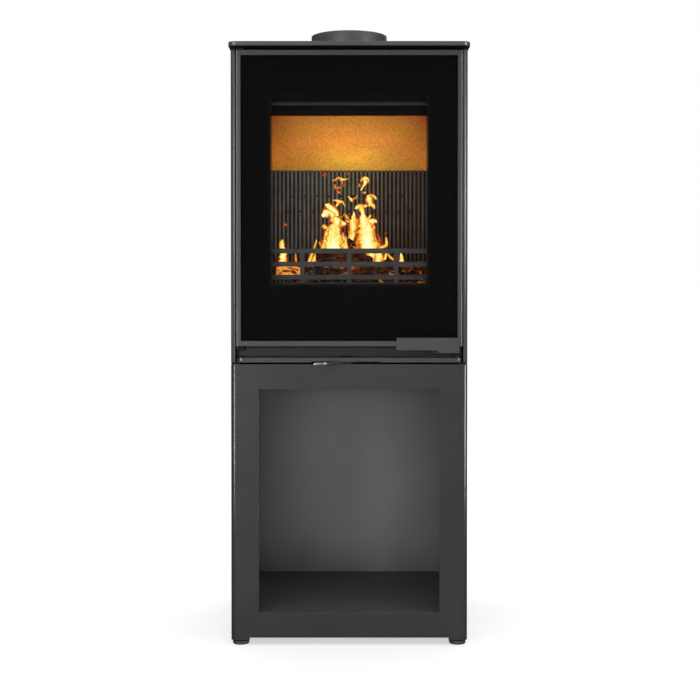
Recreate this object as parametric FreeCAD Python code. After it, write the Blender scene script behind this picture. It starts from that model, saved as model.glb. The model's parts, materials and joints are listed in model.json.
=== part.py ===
"""Wood burning stove on an open log-store pedestal, as an assembly of separate pieces.

Frame: millimetres, +Z up, the front faces -Y, +X is to the right seen from the front.
The origin is on the floor, on the axis of the flue collar.
"""
import FreeCAD
import Part
import math
import os

Vector = FreeCAD.Vector
OUT = "parts"

# ---- driving dimensions -------------------------------------------------------------
BODY_HALF = 221.0          # half the width over the side panels
FRONT = -183.0             # plane of the door, the side panels' front edges and the pedestal
BACK = 192.0               # outer face of the rear panels
INSIDE_BACK = 190.0        # inner face of the rear panels
DEPTH_HALF = 221.5         # the air lever reaches this far forward, the air inlet this far back
BEND = 8.3                 # outer radius of the folded vertical edges
SHEET = 2.5                # outer sheet steel
THIN = 2.0                 # inner and rear sheet steel
PLATE = 3.0                # brackets, tray and deflectors

LEG_Z = 9.4                # underside of the pedestal's corner legs
SKIRT_Z = 14.0             # underside of the pedestal between its legs
STORE_FLOOR_Z = 60.0       # top of the log-store floor
STORE_HALF = 168.7         # half the width of the log-store opening
STORE_TOP_Z = 479.5        # top of the log-store opening
BASE_TOP_Z = 526.0         # top of the pedestal
TRAY_Z = (529.6, 538.2)    # bottom tray, the visible ledge under the front strip
STRIP_Z = (541.5, 557.0)   # recessed front strip
DOOR_Z = (560.1, 1110.4)   # door
DOOR_HALF = 211.5
DOOR_DEPTH = 26.0
PANEL_TOP_Z = 1111.6       # top of the side panels
TOP_Z = (1116.0, 1124.0)   # top plate
TOP_HALF = 224.2
TOP_HALF_DEPTH = 200.0
COLLAR_R = 75.0            # flue spigot, 150 mm outside
COLLAR_BORE_R = 71.0
COLLAR_TOP_Z = 1168.0
FLUE_AXIS = (0.0, 0.0)

WALL = 4.0                 # firebox plate
BOX_HALF = 194.0           # half the width over the firebox walls
BOX_BACK = 143.0           # rear face of the firebox
BOX_TOP_Z = 1100.0
SEAT = (-153.0, -149.0)    # firebox front frame, which the door's rope seals against
ASH_FLOOR_Z = (590.0, 593.0)
HEARTH_Z = (641.0, 652.0)
FIRE_HALF = 152.0          # half the width of the fire opening
FIRE_OPENING_Z = (652.0, 1066.0)
ASH_HALF = 125.0
ASH_OPENING_Z = (593.0, 641.0)

LINER_FRONT = 113.0        # ribs' front plane on the back lining
LINER_BACK = 137.0
RIB_PITCH = 8.5
RIB_COUNT = 39
RIB_DEPTH = 4.0
RIB_CREST = 3.6            # flat top of a rib
RIB_FLANK = 1.2            # width of each sloping side
LINER_HEIGHT = 270.0
AIR_HOLE_R = 2.2
SIDE_LINER = (168.0, 189.5)
BAFFLE_FRONT = (-88.0, 1000.0)   # lower front edge of the baffle, as (y, z)
BAFFLE_REAR = (113.0, 914.0)     # where its underside meets the back lining
BAFFLE_THICK = 25.0

HINGE = (-206.5, -178.5)   # door axis
HINGE_PIN_R = 2.5
LATCH = (197.0, -176.0)    # handle axis
LATCH_PIN_R = 3.0
LEVER = (-3.0, -159.0)     # air lever axis
LEVER_PIN_R = 3.0
LEVER_ANGLE = 45.0         # the lever rests this far left of straight ahead
FIT = 0.05                 # radial running clearance
OVERCUT = 1.0              # cutting tools run this far past the faces they cut

M8_R = 4.0                 # foot studs and body bolts
M8_HOLE_R = 4.2
M8_FLATS = 13.0
M6_R = 3.0                 # flue collar bolts
M6_HOLE_R = 3.2
M6_FLATS = 10.0
SCREW_R = 2.5              # log-store floor and clamp screws
FOOT_INSET = 17.5          # foot axis to the pedestal's faces
BODY_BOLTS = ((-165.0, -130.0), (165.0, -130.0), (-165.0, 125.0), (165.0, 125.0))
STORE_SCREWS = ((-126.0, 123.0), (126.0, 123.0))


# ---- helpers ------------------------------------------------------------------------
def block(x, y, z):
    """Box from three (low, high) pairs."""
    return Part.makeBox(x[1] - x[0], y[1] - y[0], z[1] - z[0], Vector(x[0], y[0], z[0]))


def post(centre, radius, z):
    """Upright cylinder between two heights."""
    return Part.makeCylinder(radius, z[1] - z[0], Vector(centre[0], centre[1], z[0]))


def rod_y(x, z, radius, y):
    """Cylinder along Y."""
    return Part.makeCylinder(radius, y[1] - y[0], Vector(x, y[0], z), Vector(0, 1, 0))


def past(span):
    """A (low, high) pair widened by the overcut, for cutting tools."""
    return (span[0] - OVERCUT, span[1] + OVERCUT)


def drill(centre, radius, z):
    """Cutting tool for an upright hole through something that spans z."""
    return post(centre, radius, past(z))


def drill_y(x, z, radius, y):
    """Cutting tool for a hole along Y through something that spans y."""
    return rod_y(x, z, radius, past(y))


def ring(centre, outer, inner, z):
    return post(centre, outer, z).cut(post(centre, inner, z))


def mirrored(shape):
    """Mirror image across the X = 0 plane."""
    return shape.mirror(Vector(0, 0, 0), Vector(1, 0, 0))


def both_sides(shape):
    return [shape, mirrored(shape)]


def fuse(shapes):
    return shapes[0].multiFuse(shapes[1:]).removeSplitter()


def cut(shape, tools):
    return shape.cut(Part.makeCompound(tools))


def prism(points, direction):
    """Solid from a closed polygon of vectors."""
    wire = Part.makePolygon(points + [points[0]])
    return Part.Face(wire).extrude(direction)


def upright_fillet(shape, radius, keep):
    """Round the vertical edges whose middle passes the test."""
    edges = []
    for edge in shape.Edges:
        low, high = edge.BoundBox.ZMin, edge.BoundBox.ZMax
        flat = edge.BoundBox.XLength < 0.01 and edge.BoundBox.YLength < 0.01
        if flat and high - low > 1.0 and keep(edge.CenterOfMass):
            edges.append(edge)
    return shape.makeFillet(radius, edges)


def frame_xz(outer, inner, y):
    """Flat rectangular frame standing in the XZ plane: outer and inner are (half, z0, z1)."""
    solid = block((-outer[0], outer[0]), y, outer[1:])
    return solid.cut(block((-inner[0], inner[0]), y, inner[1:]))


def hex_prism(centre, across_flats, z):
    radius = across_flats / math.sqrt(3.0)
    points = []
    for k in range(6):
        angle = math.radians(60.0 * k)
        x, y = centre[0] + radius * math.cos(angle), centre[1] + radius * math.sin(angle)
        points.append(Vector(x, y, z[0]))
    return prism(points, Vector(0, 0, z[1] - z[0]))


def sector(centre, radii, angles, z):
    """Ring sector between two radii and two angles in degrees."""
    solid = Part.makeCylinder(radii[1], z[1] - z[0], Vector(centre[0], centre[1], z[0]),
                              Vector(0, 0, 1), angles[1] - angles[0])
    solid.rotate(Vector(centre[0], centre[1], 0), Vector(0, 0, 1), angles[0])
    return solid.cut(post(centre, radii[0], z))


def save(name, shapes):
    if not isinstance(shapes, list):
        shapes = [shapes]
    solids = [solid for shape in shapes for solid in shape.Solids]
    for solid in solids:
        assert solid.isValid() and solid.Volume > 0.5, name
    whole = solids[0] if len(solids) == 1 else Part.makeCompound(solids)
    whole.exportStep(os.path.join(OUT, name + ".step"))
    box = whole.BoundBox
    print("%-24s %2d solids  x %7.1f %7.1f  y %7.1f %7.1f  z %7.1f %7.1f" % (
        name, len(solids), box.XMin, box.XMax, box.YMin, box.YMax, box.ZMin, box.ZMax))


# ---- pedestal -----------------------------------------------------------------------
def foot_centres():
    x = BODY_HALF - FOOT_INSET
    front = FRONT + FOOT_INSET
    rear = BACK - FOOT_INSET
    return [(-x, front), (x, front), (-x, rear), (x, rear)]


def folded_wall(z):
    """U-shaped sheet: front and two sides in one fold, rounded at the front corners."""
    outer = block((-BODY_HALF, BODY_HALF), (FRONT, BACK), z)
    outer = upright_fillet(outer, BEND, lambda c: c.y < 0)
    inner = block((SHEET - BODY_HALF, BODY_HALF - SHEET), (FRONT + SHEET, BACK + OVERCUT), z)
    inner = upright_fillet(inner, BEND - SHEET, lambda c: c.y < 0)
    return outer.cut(inner)


def base_shell():
    """Folded wall on four corner legs, with a flange turned in round the log-store opening."""
    leg_width = 35.0
    flange = 12.0
    wall = folded_wall((LEG_Z, BASE_TOP_Z))
    reach = BODY_HALF - leg_width
    gap_z = (LEG_Z - OVERCUT, SKIRT_Z)
    front_y = past((FRONT, FRONT + SHEET))
    front_gap = block((-reach, reach), front_y, gap_z)
    side_gap = block(past((-BODY_HALF, BODY_HALF)), (FRONT + leg_width, BACK - leg_width), gap_z)
    mouth = block((-STORE_HALF, STORE_HALF), front_y, (STORE_FLOOR_Z, STORE_TOP_Z))
    wall = cut(wall, [front_gap, side_gap, mouth])
    flange_y = (FRONT + SHEET, FRONT + flange)
    jamb = block((STORE_HALF, STORE_HALF + THIN), flange_y, (STORE_FLOOR_Z, STORE_TOP_Z + THIN))
    lintel = block((-STORE_HALF, STORE_HALF), flange_y, (STORE_TOP_Z, STORE_TOP_Z + THIN))
    return fuse([wall, lintel] + both_sides(jamb))


def base_floor():
    """Log-store floor, its front edge folded down behind the sill."""
    inside = BODY_HALF - SHEET
    fold = 18.0
    deck_z = (STORE_FLOOR_Z - THIN, STORE_FLOOR_Z)
    deck = block((-inside, inside), (FRONT + SHEET, INSIDE_BACK), deck_z)
    corner = block((STORE_HALF + THIN, inside + OVERCUT), (FRONT, FRONT + BEND), past(deck_z))
    lip_y = (FRONT + SHEET, FRONT + SHEET + THIN)
    lip = block((-STORE_HALF, STORE_HALF), lip_y, (STORE_FLOOR_Z - fold, STORE_FLOOR_Z))
    return cut(fuse([deck, lip]), both_sides(corner) + [drill(p, SCREW_R, deck_z) for p in STORE_SCREWS])


def base_floor_screws():
    head_height, length = 1.4, 10.0
    screws = []
    for x, y in STORE_SCREWS:
        head = Part.makeCone(4.6, 2.6, head_height, Vector(x, y, STORE_FLOOR_Z))
        shank = post((x, y), SCREW_R, (STORE_FLOOR_Z - length, STORE_FLOOR_Z))
        screws.append(fuse([head, shank]))
    return screws


def base_back():
    inside = BODY_HALF - SHEET
    return block((-inside, inside), (INSIDE_BACK, BACK), (SKIRT_Z, BASE_TOP_Z - PLATE))


def base_top():
    inside = BODY_HALF - SHEET
    z = (BASE_TOP_Z - PLATE, BASE_TOP_Z)
    plate = block((-inside, inside), (FRONT + SHEET, BACK), z)
    plate = upright_fillet(plate, BEND - SHEET, lambda c: c.y < 0)
    return cut(plate, [drill(p, M8_HOLE_R, z) for p in BODY_BOLTS])


FOOT_R = 15.5
FOOT_Z = (0.0, 7.0)        # levelling foot's disc
STUD_TOP_Z = 34.0
FOOT_PLATE_Z = (SKIRT_Z + THIN, SKIRT_Z + THIN + PLATE)
NUT = 6.5                  # height of an M8 nut
HEAD = 5.5                 # height of an M8 bolt head


def feet():
    chamfer = 1.4
    shapes = []
    for centre in foot_centres():
        disc = post(centre, FOOT_R, FOOT_Z)
        rims = [edge for edge in disc.Edges if edge.Curve.TypeId == "Part::GeomCircle"]
        disc = disc.makeChamfer(chamfer, rims)
        stud = post(centre, M8_R, (FOOT_Z[1], STUD_TOP_Z))
        shapes.append(fuse([disc, stud]))
    return shapes


def foot_brackets():
    """A plate in each corner of the pedestal, which the foot's stud passes through."""
    side = 34.0
    edge = BODY_HALF - SHEET
    shapes = []
    for x, y in foot_centres():
        span_x = (edge - side, edge) if x > 0 else (-edge, side - edge)
        span_y = (FRONT + SHEET, FRONT + SHEET + side) if y < 0 else (INSIDE_BACK - side, INSIDE_BACK)
        plate = block(span_x, span_y, FOOT_PLATE_Z)
        if y < 0:
            plate = upright_fillet(plate, BEND - SHEET, lambda c: abs(c.x) > abs(x) and c.y < y)
        shapes.append(plate.cut(drill((x, y), M8_HOLE_R, FOOT_PLATE_Z)))
    return shapes


def foot_nuts():
    z = (FOOT_PLATE_Z[1], FOOT_PLATE_Z[1] + NUT)
    return [hex_prism(p, M8_FLATS, z).cut(drill(p, M8_R, z)) for p in foot_centres()]


SIDE_STRIP_X = (206.0, 220.5)
SIDE_STRIP_Y = (-176.0, INSIDE_BACK)


def body_spacers():
    """Rings round the body bolts, and a strip along each side that the side panels stand on."""
    rings = [ring(p, 12.0, M8_HOLE_R, (BASE_TOP_Z, TRAY_Z[1] - PLATE)) for p in BODY_BOLTS]
    return rings + both_sides(block(SIDE_STRIP_X, SIDE_STRIP_Y, (BASE_TOP_Z, TRAY_Z[0])))


def body_bolts():
    """Bolts up through the pedestal top and the spacers, each with its nut on the tray."""
    head_z = (BASE_TOP_Z - PLATE - HEAD, BASE_TOP_Z - PLATE)
    nut_z = (TRAY_Z[1], TRAY_Z[1] + NUT)
    shapes = []
    for p in BODY_BOLTS:
        shank = post(p, M8_R, (head_z[1], nut_z[1] + THIN))
        nut = hex_prism(p, M8_FLATS, nut_z).cut(drill(p, M8_R, nut_z))
        shapes += [fuse([hex_prism(p, M8_FLATS, head_z), shank]), nut]
    return shapes


# ---- air supply ---------------------------------------------------------------------
PORT_RADII = (34.0, 74.0)
PORT_HALF_ANGLE = 15.0
SHUTTER_Z = (527.2, 529.7)
VALVE_Z = (530.2, TRAY_Z[1] - PLATE)
FLAP_ANGLE = 45.0          # the shutter's flap points this way at rest, over the port
LEVER_SLOT_X = (-71.0, 57.0)
ARM_LENGTH = 56.0


def port_tool():
    """Cutting tool for the air port through the tray and the valve plate under it."""
    angles = (FLAP_ANGLE - PORT_HALF_ANGLE, FLAP_ANGLE + PORT_HALF_ANGLE)
    return sector(LEVER, PORT_RADII, angles, past(TRAY_Z))


def bottom_tray():
    """Shallow tray, open below, with the air port, the bolt holes and a slot the air lever swings in."""
    half = DOOR_HALF + 0.1
    corner = 12.0
    plate = block((-half, half), (FRONT, INSIDE_BACK), TRAY_Z)
    plate = upright_fillet(plate, corner, lambda c: c.y < 0)
    hollow_z = (TRAY_Z[0] - OVERCUT, TRAY_Z[1] - PLATE)
    hollow = block((PLATE - half, half - PLATE), (FRONT + PLATE, INSIDE_BACK - PLATE), hollow_z)
    hollow = upright_fillet(hollow, corner - PLATE, lambda c: c.y < 0)
    slot = block(LEVER_SLOT_X, past((FRONT, FRONT + PLATE)), (TRAY_Z[0] - OVERCUT, TRAY_Z[0] + 1.6))
    holes = [drill(p, M8_HOLE_R, TRAY_Z) for p in BODY_BOLTS]
    return cut(plate, [hollow, slot, port_tool(), drill(LEVER, LEVER_PIN_R, TRAY_Z)] + holes)


def air_valve_plate():
    """Half disc under the tray that the shutter slides against."""
    disc = sector(LEVER, (8.0, PORT_RADII[1] + 10.0), (0.0, 180.0), VALVE_Z)
    return disc.cut(port_tool())


def air_pivot():
    head = post(LEVER, 6.5, (TRAY_Z[1], TRAY_Z[1] + PLATE))
    shank = post(LEVER, LEVER_PIN_R, (BASE_TOP_Z + 0.3, TRAY_Z[1]))
    return fuse([head, shank])


def air_pivot_clip():
    return ring(LEVER, 5.5, LEVER_PIN_R, (BASE_TOP_Z + 0.2, BASE_TOP_Z + 0.8))


def along_lever(shape):
    """Turn a shape built straight ahead (towards -Y from the axis) to the lever's rest angle."""
    shape.rotate(Vector(LEVER[0], LEVER[1], 0), Vector(0, 0, 1), -LEVER_ANGLE)
    return shape


def air_shutter():
    """Hub with the lever's arm on one side and the flap that covers the port on the other."""
    hub_r, arm_half = 12.0, 6.0
    hub = post(LEVER, hub_r, SHUTTER_Z)
    arm = block((LEVER[0] - arm_half, LEVER[0] + arm_half), (LEVER[1] - ARM_LENGTH, LEVER[1]), SHUTTER_Z)
    spread = PORT_HALF_ANGLE + 5.0
    flap = sector(LEVER, (6.0, PORT_RADII[1] + 6.0), (FLAP_ANGLE - spread, FLAP_ANGLE + spread), SHUTTER_Z)
    plate = fuse([hub, along_lever(arm), flap])
    return plate.cut(drill(LEVER, LEVER_PIN_R + FIT, SHUTTER_Z))


def air_lever_grip():
    """Turned steel grip: collar, neck and handle, on the end of the shutter's arm."""
    z = 0.5 * (SHUTTER_Z[0] + SHUTTER_Z[1])
    ahead = Vector(0, -1, 0)
    collar_r, neck_r, grip_r = 2.4, 1.4, 2.2
    collar_end, neck_end = ARM_LENGTH + 6.0, ARM_LENGTH + 10.0

    def turned(start, end, radius):
        return Part.makeCylinder(radius, end - start, Vector(LEVER[0], LEVER[1] - start, z), ahead)

    reach = DEPTH_HALF + LEVER[1]
    end = (reach - grip_r) / math.cos(math.radians(LEVER_ANGLE))
    tip = Part.makeSphere(grip_r, Vector(LEVER[0], LEVER[1] - end, z))
    collar = turned(ARM_LENGTH, collar_end, collar_r)
    neck = turned(collar_end, neck_end, neck_r)
    return along_lever(fuse([collar, neck, turned(neck_end, end, grip_r), tip]))


INLET_Z = 620.0
INLET_R = 50.0
DUCT_HALF = 62.0
DUCT_TOP_Z = 684.0
DUCT_BACK = BACK - 6.0     # the inlet's flange sits here, behind the rear panel
DUCT_PORT = (58.0, 545.0, 585.0)   # hole in the firebox back under the duct, as (half, z0, z1)
AIR_BOX_TOP_Z = 563.0


def air_inlet():
    """Spigot for an outside-air duct, with a shoulder at the rear panel and a flange on the inlet duct."""
    tube = rod_y(0.0, INLET_Z, INLET_R, (BACK, DEPTH_HALF))
    root = rod_y(0.0, INLET_Z, INLET_R - 0.6, (DUCT_BACK, BACK))
    collar = rod_y(0.0, INLET_Z, INLET_R + 9.0, (DUCT_BACK, DUCT_BACK + THIN))
    return fuse([tube, root, collar]).cut(drill_y(0.0, INLET_Z, INLET_R - THIN, (DUCT_BACK, DEPTH_HALF)))


def inlet_duct():
    """Folded duct from the inlet spigot down to the air box under the ash floor."""
    outer = block((-DUCT_HALF, DUCT_HALF), (BOX_BACK, DUCT_BACK), (TRAY_Z[1], DUCT_TOP_Z))
    inner = block((THIN - DUCT_HALF, DUCT_HALF - THIN), (BOX_BACK - OVERCUT, DUCT_BACK - THIN),
                  (TRAY_Z[1] - OVERCUT, DUCT_TOP_Z - THIN))
    return cut(outer, [inner, drill_y(0.0, INLET_Z, INLET_R - THIN, (DUCT_BACK - THIN, DUCT_BACK))])


def air_box_front():
    half = DOOR_HALF - 0.5
    return block((-half, half), (SEAT[1] - PLATE, SEAT[1]), (TRAY_Z[1], AIR_BOX_TOP_Z))


# ---- firebox ------------------------------------------------------------------------
def firebox_side():
    return block((BOX_HALF - WALL, BOX_HALF), (SEAT[1], BOX_BACK), (TRAY_Z[1], BOX_TOP_Z - WALL))


def firebox_back():
    half = BOX_HALF - WALL
    plate = block((-half, half), (BOX_BACK - WALL, BOX_BACK), (TRAY_Z[1], BOX_TOP_Z - WALL))
    port = block((-DUCT_PORT[0], DUCT_PORT[0]), past((BOX_BACK - WALL, BOX_BACK)), DUCT_PORT[1:])
    return plate.cut(port)


def firebox_top():
    z = (BOX_TOP_Z - WALL, BOX_TOP_Z)
    plate = block((-BOX_HALF, BOX_HALF), (SEAT[1], BOX_BACK), z)
    holes = [drill(p, M6_HOLE_R, z) for p in collar_bolt_centres()]
    return cut(plate, holes + [drill(FLUE_AXIS, COLLAR_BORE_R, z)])


def firebox_front():
    """Flat frame the door's rope seals against, with the fire opening and the ash opening."""
    half = DOOR_HALF - 4.5
    plate = block((-half, half), SEAT, (AIR_BOX_TOP_Z, UPPER_BRACKET_Z[0]))
    fire = block((-FIRE_HALF, FIRE_HALF), past(SEAT), FIRE_OPENING_Z)
    ash = block((-ASH_HALF, ASH_HALF), past(SEAT), ASH_OPENING_Z)
    return cut(plate, [fire, ash])


def ash_floor():
    half = BOX_HALF - WALL
    return block((-half, half), (SEAT[1], BOX_BACK - WALL), ASH_FLOOR_Z)


GRATE_HALF = (86.0, 60.0)
GRATE_Z = (645.0, 652.0)
GRATE_RIM = (8.0, 10.0)    # solid edge round the slots, in X and Y
GRATE_SLOTS = 11
GRATE_BAR = 8.0
PAN = (118.0, SEAT[1] + 3.0, 100.0)   # ash pan as (half, front, back)
PAN_Z = (594.0, 634.0)
PAN_SHEET = 1.5
PAN_GRIP = (35.0, 610.0, 620.0)       # hook to draw the pan out by, as (half, z0, z1)


def hearth():
    """Floor of the fire, with a stepped well the grate drops into."""
    half = BOX_HALF - WALL
    ledge = 4.0
    plate = block((-half, half), (SEAT[1], BOX_BACK - WALL), HEARTH_Z)
    seat_z = (GRATE_Z[0], HEARTH_Z[1] + OVERCUT)
    seat = block((-GRATE_HALF[0], GRATE_HALF[0]), (-GRATE_HALF[1], GRATE_HALF[1]), seat_z)
    x, y = GRATE_HALF[0] - ledge, GRATE_HALF[1] - ledge
    return cut(plate, [seat, block((-x, x), (-y, y), past(HEARTH_Z))])


def grate():
    x, y = GRATE_HALF[0] - 0.5, GRATE_HALF[1] - 0.5
    plate = block((-x, x), (-y, y), GRATE_Z)
    reach = y - GRATE_RIM[1]
    pitch = 2.0 * (x - GRATE_RIM[0]) / GRATE_SLOTS
    slots = []
    for k in range(GRATE_SLOTS):
        left = -x + GRATE_RIM[0] + pitch * k + 0.5 * GRATE_BAR
        slots.append(block((left, left + pitch - GRATE_BAR), (-reach, reach), past(GRATE_Z)))
    return cut(plate, slots)


def ash_pan():
    half, front, back = PAN
    corner = 6.0
    outer = block((-half, half), (front, back), PAN_Z)
    outer = upright_fillet(outer, corner, lambda c: True)
    inner = block((PAN_SHEET - half, half - PAN_SHEET), (front + PAN_SHEET, back - PAN_SHEET),
                  (PAN_Z[0] + PAN_SHEET, PAN_Z[1] + OVERCUT))
    inner = upright_fillet(inner, corner - PAN_SHEET, lambda c: True)
    grip_half, low, high = PAN_GRIP
    grip_front = SEAT[0] + 1.0
    grip = block((-grip_half, grip_half), (grip_front, front), (high, high + THIN))
    hook = block((-grip_half, grip_half), (grip_front, grip_front + THIN), (low, high))
    return fuse([outer.cut(inner), grip, hook])


def baffle_slope():
    return (BAFFLE_FRONT[1] - BAFFLE_REAR[1]) / (BAFFLE_REAR[0] - BAFFLE_FRONT[0])


def baffle_underside(y):
    return BAFFLE_REAR[1] + (BAFFLE_REAR[0] - y) * baffle_slope()


def above_baffle():
    """Everything above the baffle's underside, used to trim the linings that carry it."""
    front, rear = SEAT[1], LINER_BACK + OVERCUT
    points = [Vector(-BOX_HALF, front, baffle_underside(front)), Vector(-BOX_HALF, front, BOX_TOP_Z),
              Vector(-BOX_HALF, rear, BOX_TOP_Z), Vector(-BOX_HALF, rear, baffle_underside(rear))]
    return prism(points, Vector(2.0 * BOX_HALF, 0, 0))


def baffle():
    """Sloping board on the linings, its front edge square to the slope and its rear edge upright."""
    length = math.hypot(BAFFLE_REAR[0] - BAFFLE_FRONT[0], BAFFLE_FRONT[1] - BAFFLE_REAR[1])
    rise = BAFFLE_THICK * (BAFFLE_REAR[0] - BAFFLE_FRONT[0]) / length
    shift = BAFFLE_THICK * (BAFFLE_FRONT[1] - BAFFLE_REAR[1]) / length
    half = SIDE_LINER[1] - 0.5
    front, rear = BAFFLE_FRONT[0], LINER_BACK - 1.0
    points = [Vector(-half, front, baffle_underside(front)),
              Vector(-half, rear, baffle_underside(rear)),
              Vector(-half, rear, baffle_underside(rear) + rise + shift * baffle_slope()),
              Vector(-half, front + shift, baffle_underside(front) + rise)]
    return prism(points, Vector(2.0 * half, 0, 0))


def air_holes():
    """Two staggered rows of burn-air holes in the ribbed lining, one hole to every three ribs."""
    step = 3.0 * RIB_PITCH
    upper = [RIB_PITCH + step * k for k in range(-5, 5)]
    lower = [step * k for k in range(-5, 6)]
    holes = []
    for z, places in ((859.5, upper), (827.7, lower)):
        holes += [drill_y(x, z, AIR_HOLE_R, (LINER_FRONT, LINER_BACK)) for x in places]
    return holes


def back_lining():
    """Cast plate with upright ribs, its outline walked rib by rib."""
    left = -0.5 * RIB_COUNT * RIB_PITCH
    crest, side = RIB_CREST, RIB_FLANK
    points = []
    for k in range(RIB_COUNT):
        start = left + RIB_PITCH * k + 0.5 * (RIB_PITCH - crest - 2.0 * side)
        profile = [(0.0, RIB_DEPTH), (side, 0.0), (side + crest, 0.0), (2.0 * side + crest, RIB_DEPTH)]
        points += [Vector(start + dx, LINER_FRONT + dy, HEARTH_Z[1]) for dx, dy in profile]
    valley = LINER_FRONT + RIB_DEPTH
    corners = [(-left, valley), (-left, LINER_BACK), (left, LINER_BACK), (left, valley)]
    points += [Vector(x, y, HEARTH_Z[1]) for x, y in corners]
    plate = prism(points, Vector(0, 0, LINER_HEIGHT))
    return cut(plate, [above_baffle()] + air_holes())


def side_lining():
    plate = block(SIDE_LINER, (-130.0, LINER_FRONT + RIB_DEPTH), (HEARTH_Z[1], 1020.0))
    return cut(plate, [above_baffle()])


UPPER_PLATE_Z = (1056.0, 1059.0)
UPPER_PLATE_BACK = 62.0
RAIL_Y = (-120.0, 50.0)


def upper_deflector():
    """Second plate above the baffle, its rear edge turned down."""
    half = BOX_HALF - WALL - 1.0
    fold = 11.0
    plate = block((-half, half), (SEAT[1] + 12.5, UPPER_PLATE_BACK), UPPER_PLATE_Z)
    lip_z = (UPPER_PLATE_Z[0] - fold, UPPER_PLATE_Z[0])
    lip = block((-half, half), (UPPER_PLATE_BACK - THIN, UPPER_PLATE_BACK), lip_z)
    return fuse([plate, lip])


def deflector_rails():
    """Angle on each firebox wall that the upper deflector lies on."""
    foot_width, web_height = 15.0, 18.0
    edge = BOX_HALF - WALL
    foot_z = (UPPER_PLATE_Z[0] - PLATE, UPPER_PLATE_Z[0])
    foot = block((edge - foot_width, edge), RAIL_Y, foot_z)
    web = block((edge - PLATE, edge), RAIL_Y, (foot_z[0] - web_height, foot_z[0]))
    return both_sides(fuse([foot, web]))


WASH_Y = (-140.0, -137.0)
WASH_Z = (1013.2, 1090.0)
WASH_LIP = (-147.0, 1018.8)   # front and top of the lip along the plate's lower edge, as (y, z)


def air_wash_deflector():
    """Plate behind the top of the fire opening that turns air down over the glass."""
    half = BOX_HALF - WALL - 2.0
    plate = block((-half, half), WASH_Y, WASH_Z)
    lip = block((-half, half), (WASH_LIP[0], WASH_Y[0]), (WASH_Z[0], WASH_LIP[1]))
    roof = block((-half, half), (SEAT[1], WASH_Y[1]), (WASH_Z[1], WASH_Z[1] + PLATE))
    return fuse([plate, lip, roof])


GUARD_HALF = 176.0
GUARD_Y = (-143.0, -138.0)
GUARD_BARS_Z = ((734.0, 743.2), (709.2, 718.3), (684.3, 693.4), (HEARTH_Z[1], 678.7))
GUARD_POST = (88.7, 4.25)     # pitch and half width of the uprights
GUARD_END = 10.0


def log_guard():
    """Barred guard that stands on the hearth across the fire opening."""
    bars = [block((-GUARD_HALF, GUARD_HALF), GUARD_Y, z) for z in GUARD_BARS_Z]
    height = (HEARTH_Z[1], GUARD_BARS_Z[0][1])
    pitch, half = GUARD_POST
    posts = [block((pitch * k - half, pitch * k + half), GUARD_Y, height) for k in (-1, 0, 1)]
    end_x = (GUARD_HALF - GUARD_END, GUARD_HALF)
    end = block(end_x, GUARD_Y, height)
    foot = block(end_x, (GUARD_Y[1], GUARD_Y[1] + 7.0), (HEARTH_Z[1], HEARTH_Z[1] + 8.0))
    return fuse(bars + posts + both_sides(end) + both_sides(foot))


# ---- outer casing -------------------------------------------------------------------
REAR_SCREW_X = 211.0
REAR_SCREWS_Z = (600.0, 830.0, 1080.0)
REAR_SCREW_R = 2.0
REAR_FLANGE = 18.0         # flange at the back of a side panel
REAR_FLANGE_FOOT_Z = 545.0
VENTS_Z = (730.0, 750.0, 1010.0, 1030.0, 1050.0)
VENT = (36.0, 6.0)         # width and height of a vent slot
VENT_PITCH = 50.0
VENT_COLUMNS = range(-3, 4)
BRACKETS_Y = (-110.0, 90.0)
BRACKETS_Z = (620.0, 850.0, 1060.0)
BRACKET_WIDTH = 20.0


def side_panel():
    """Right panel: rounded front edge, flat side, and a flange at the back for the rear panel."""
    z = (TRAY_Z[0], PANEL_TOP_Z)
    sheet = block((BODY_HALF - SHEET, BODY_HALF), (FRONT + BEND, INSIDE_BACK), z)
    centre = (BODY_HALF - BEND, FRONT + BEND)
    edge = sector(centre, (BEND - SHEET, BEND), (-90.0, 0.0), z)
    flange_y = (INSIDE_BACK - THIN, INSIDE_BACK)
    flange = block((BODY_HALF - REAR_FLANGE, BODY_HALF - SHEET), flange_y, (REAR_FLANGE_FOOT_Z, PANEL_TOP_Z))
    holes = [drill_y(REAR_SCREW_X, height, REAR_SCREW_R, flange_y) for height in REAR_SCREWS_Z]
    return cut(fuse([sheet, edge, flange]), holes)


def panel_brackets():
    """Short plates between the firebox walls and the side panels."""
    x = (BOX_HALF, BODY_HALF - SHEET)
    shapes = []
    for y in BRACKETS_Y:
        for z in BRACKETS_Z:
            shapes += both_sides(block(x, (y, y + BRACKET_WIDTH), (z, z + PLATE)))
    return shapes


def rear_panel():
    """Sheet with rows of vent slots and a round hole for the air inlet."""
    half = BODY_HALF - PLATE
    y = (INSIDE_BACK, BACK)
    sheet = block((-half, half), y, (TRAY_Z[1] + 1.0, TOP_Z[0]))
    tools = [drill_y(0.0, INLET_Z, INLET_R + 1.0, y)]
    for z in VENTS_Z:
        for k in VENT_COLUMNS:
            left = VENT_PITCH * k - 0.5 * VENT[0]
            tools.append(block((left, left + VENT[0]), past(y), (z, z + VENT[1])))
    for z in REAR_SCREWS_Z:
        tools += both_sides(drill_y(REAR_SCREW_X, z, REAR_SCREW_R + 0.1, y))
    return cut(sheet, tools)


def rear_screws():
    head_r, head_height, length = 4.0, 2.4, 6.0
    shapes = []
    for z in REAR_SCREWS_Z:
        head = rod_y(REAR_SCREW_X, z, head_r, (BACK, BACK + head_height))
        shank = rod_y(REAR_SCREW_X, z, REAR_SCREW_R, (BACK - length, BACK))
        shapes += both_sides(fuse([head, shank]))
    return shapes


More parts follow.
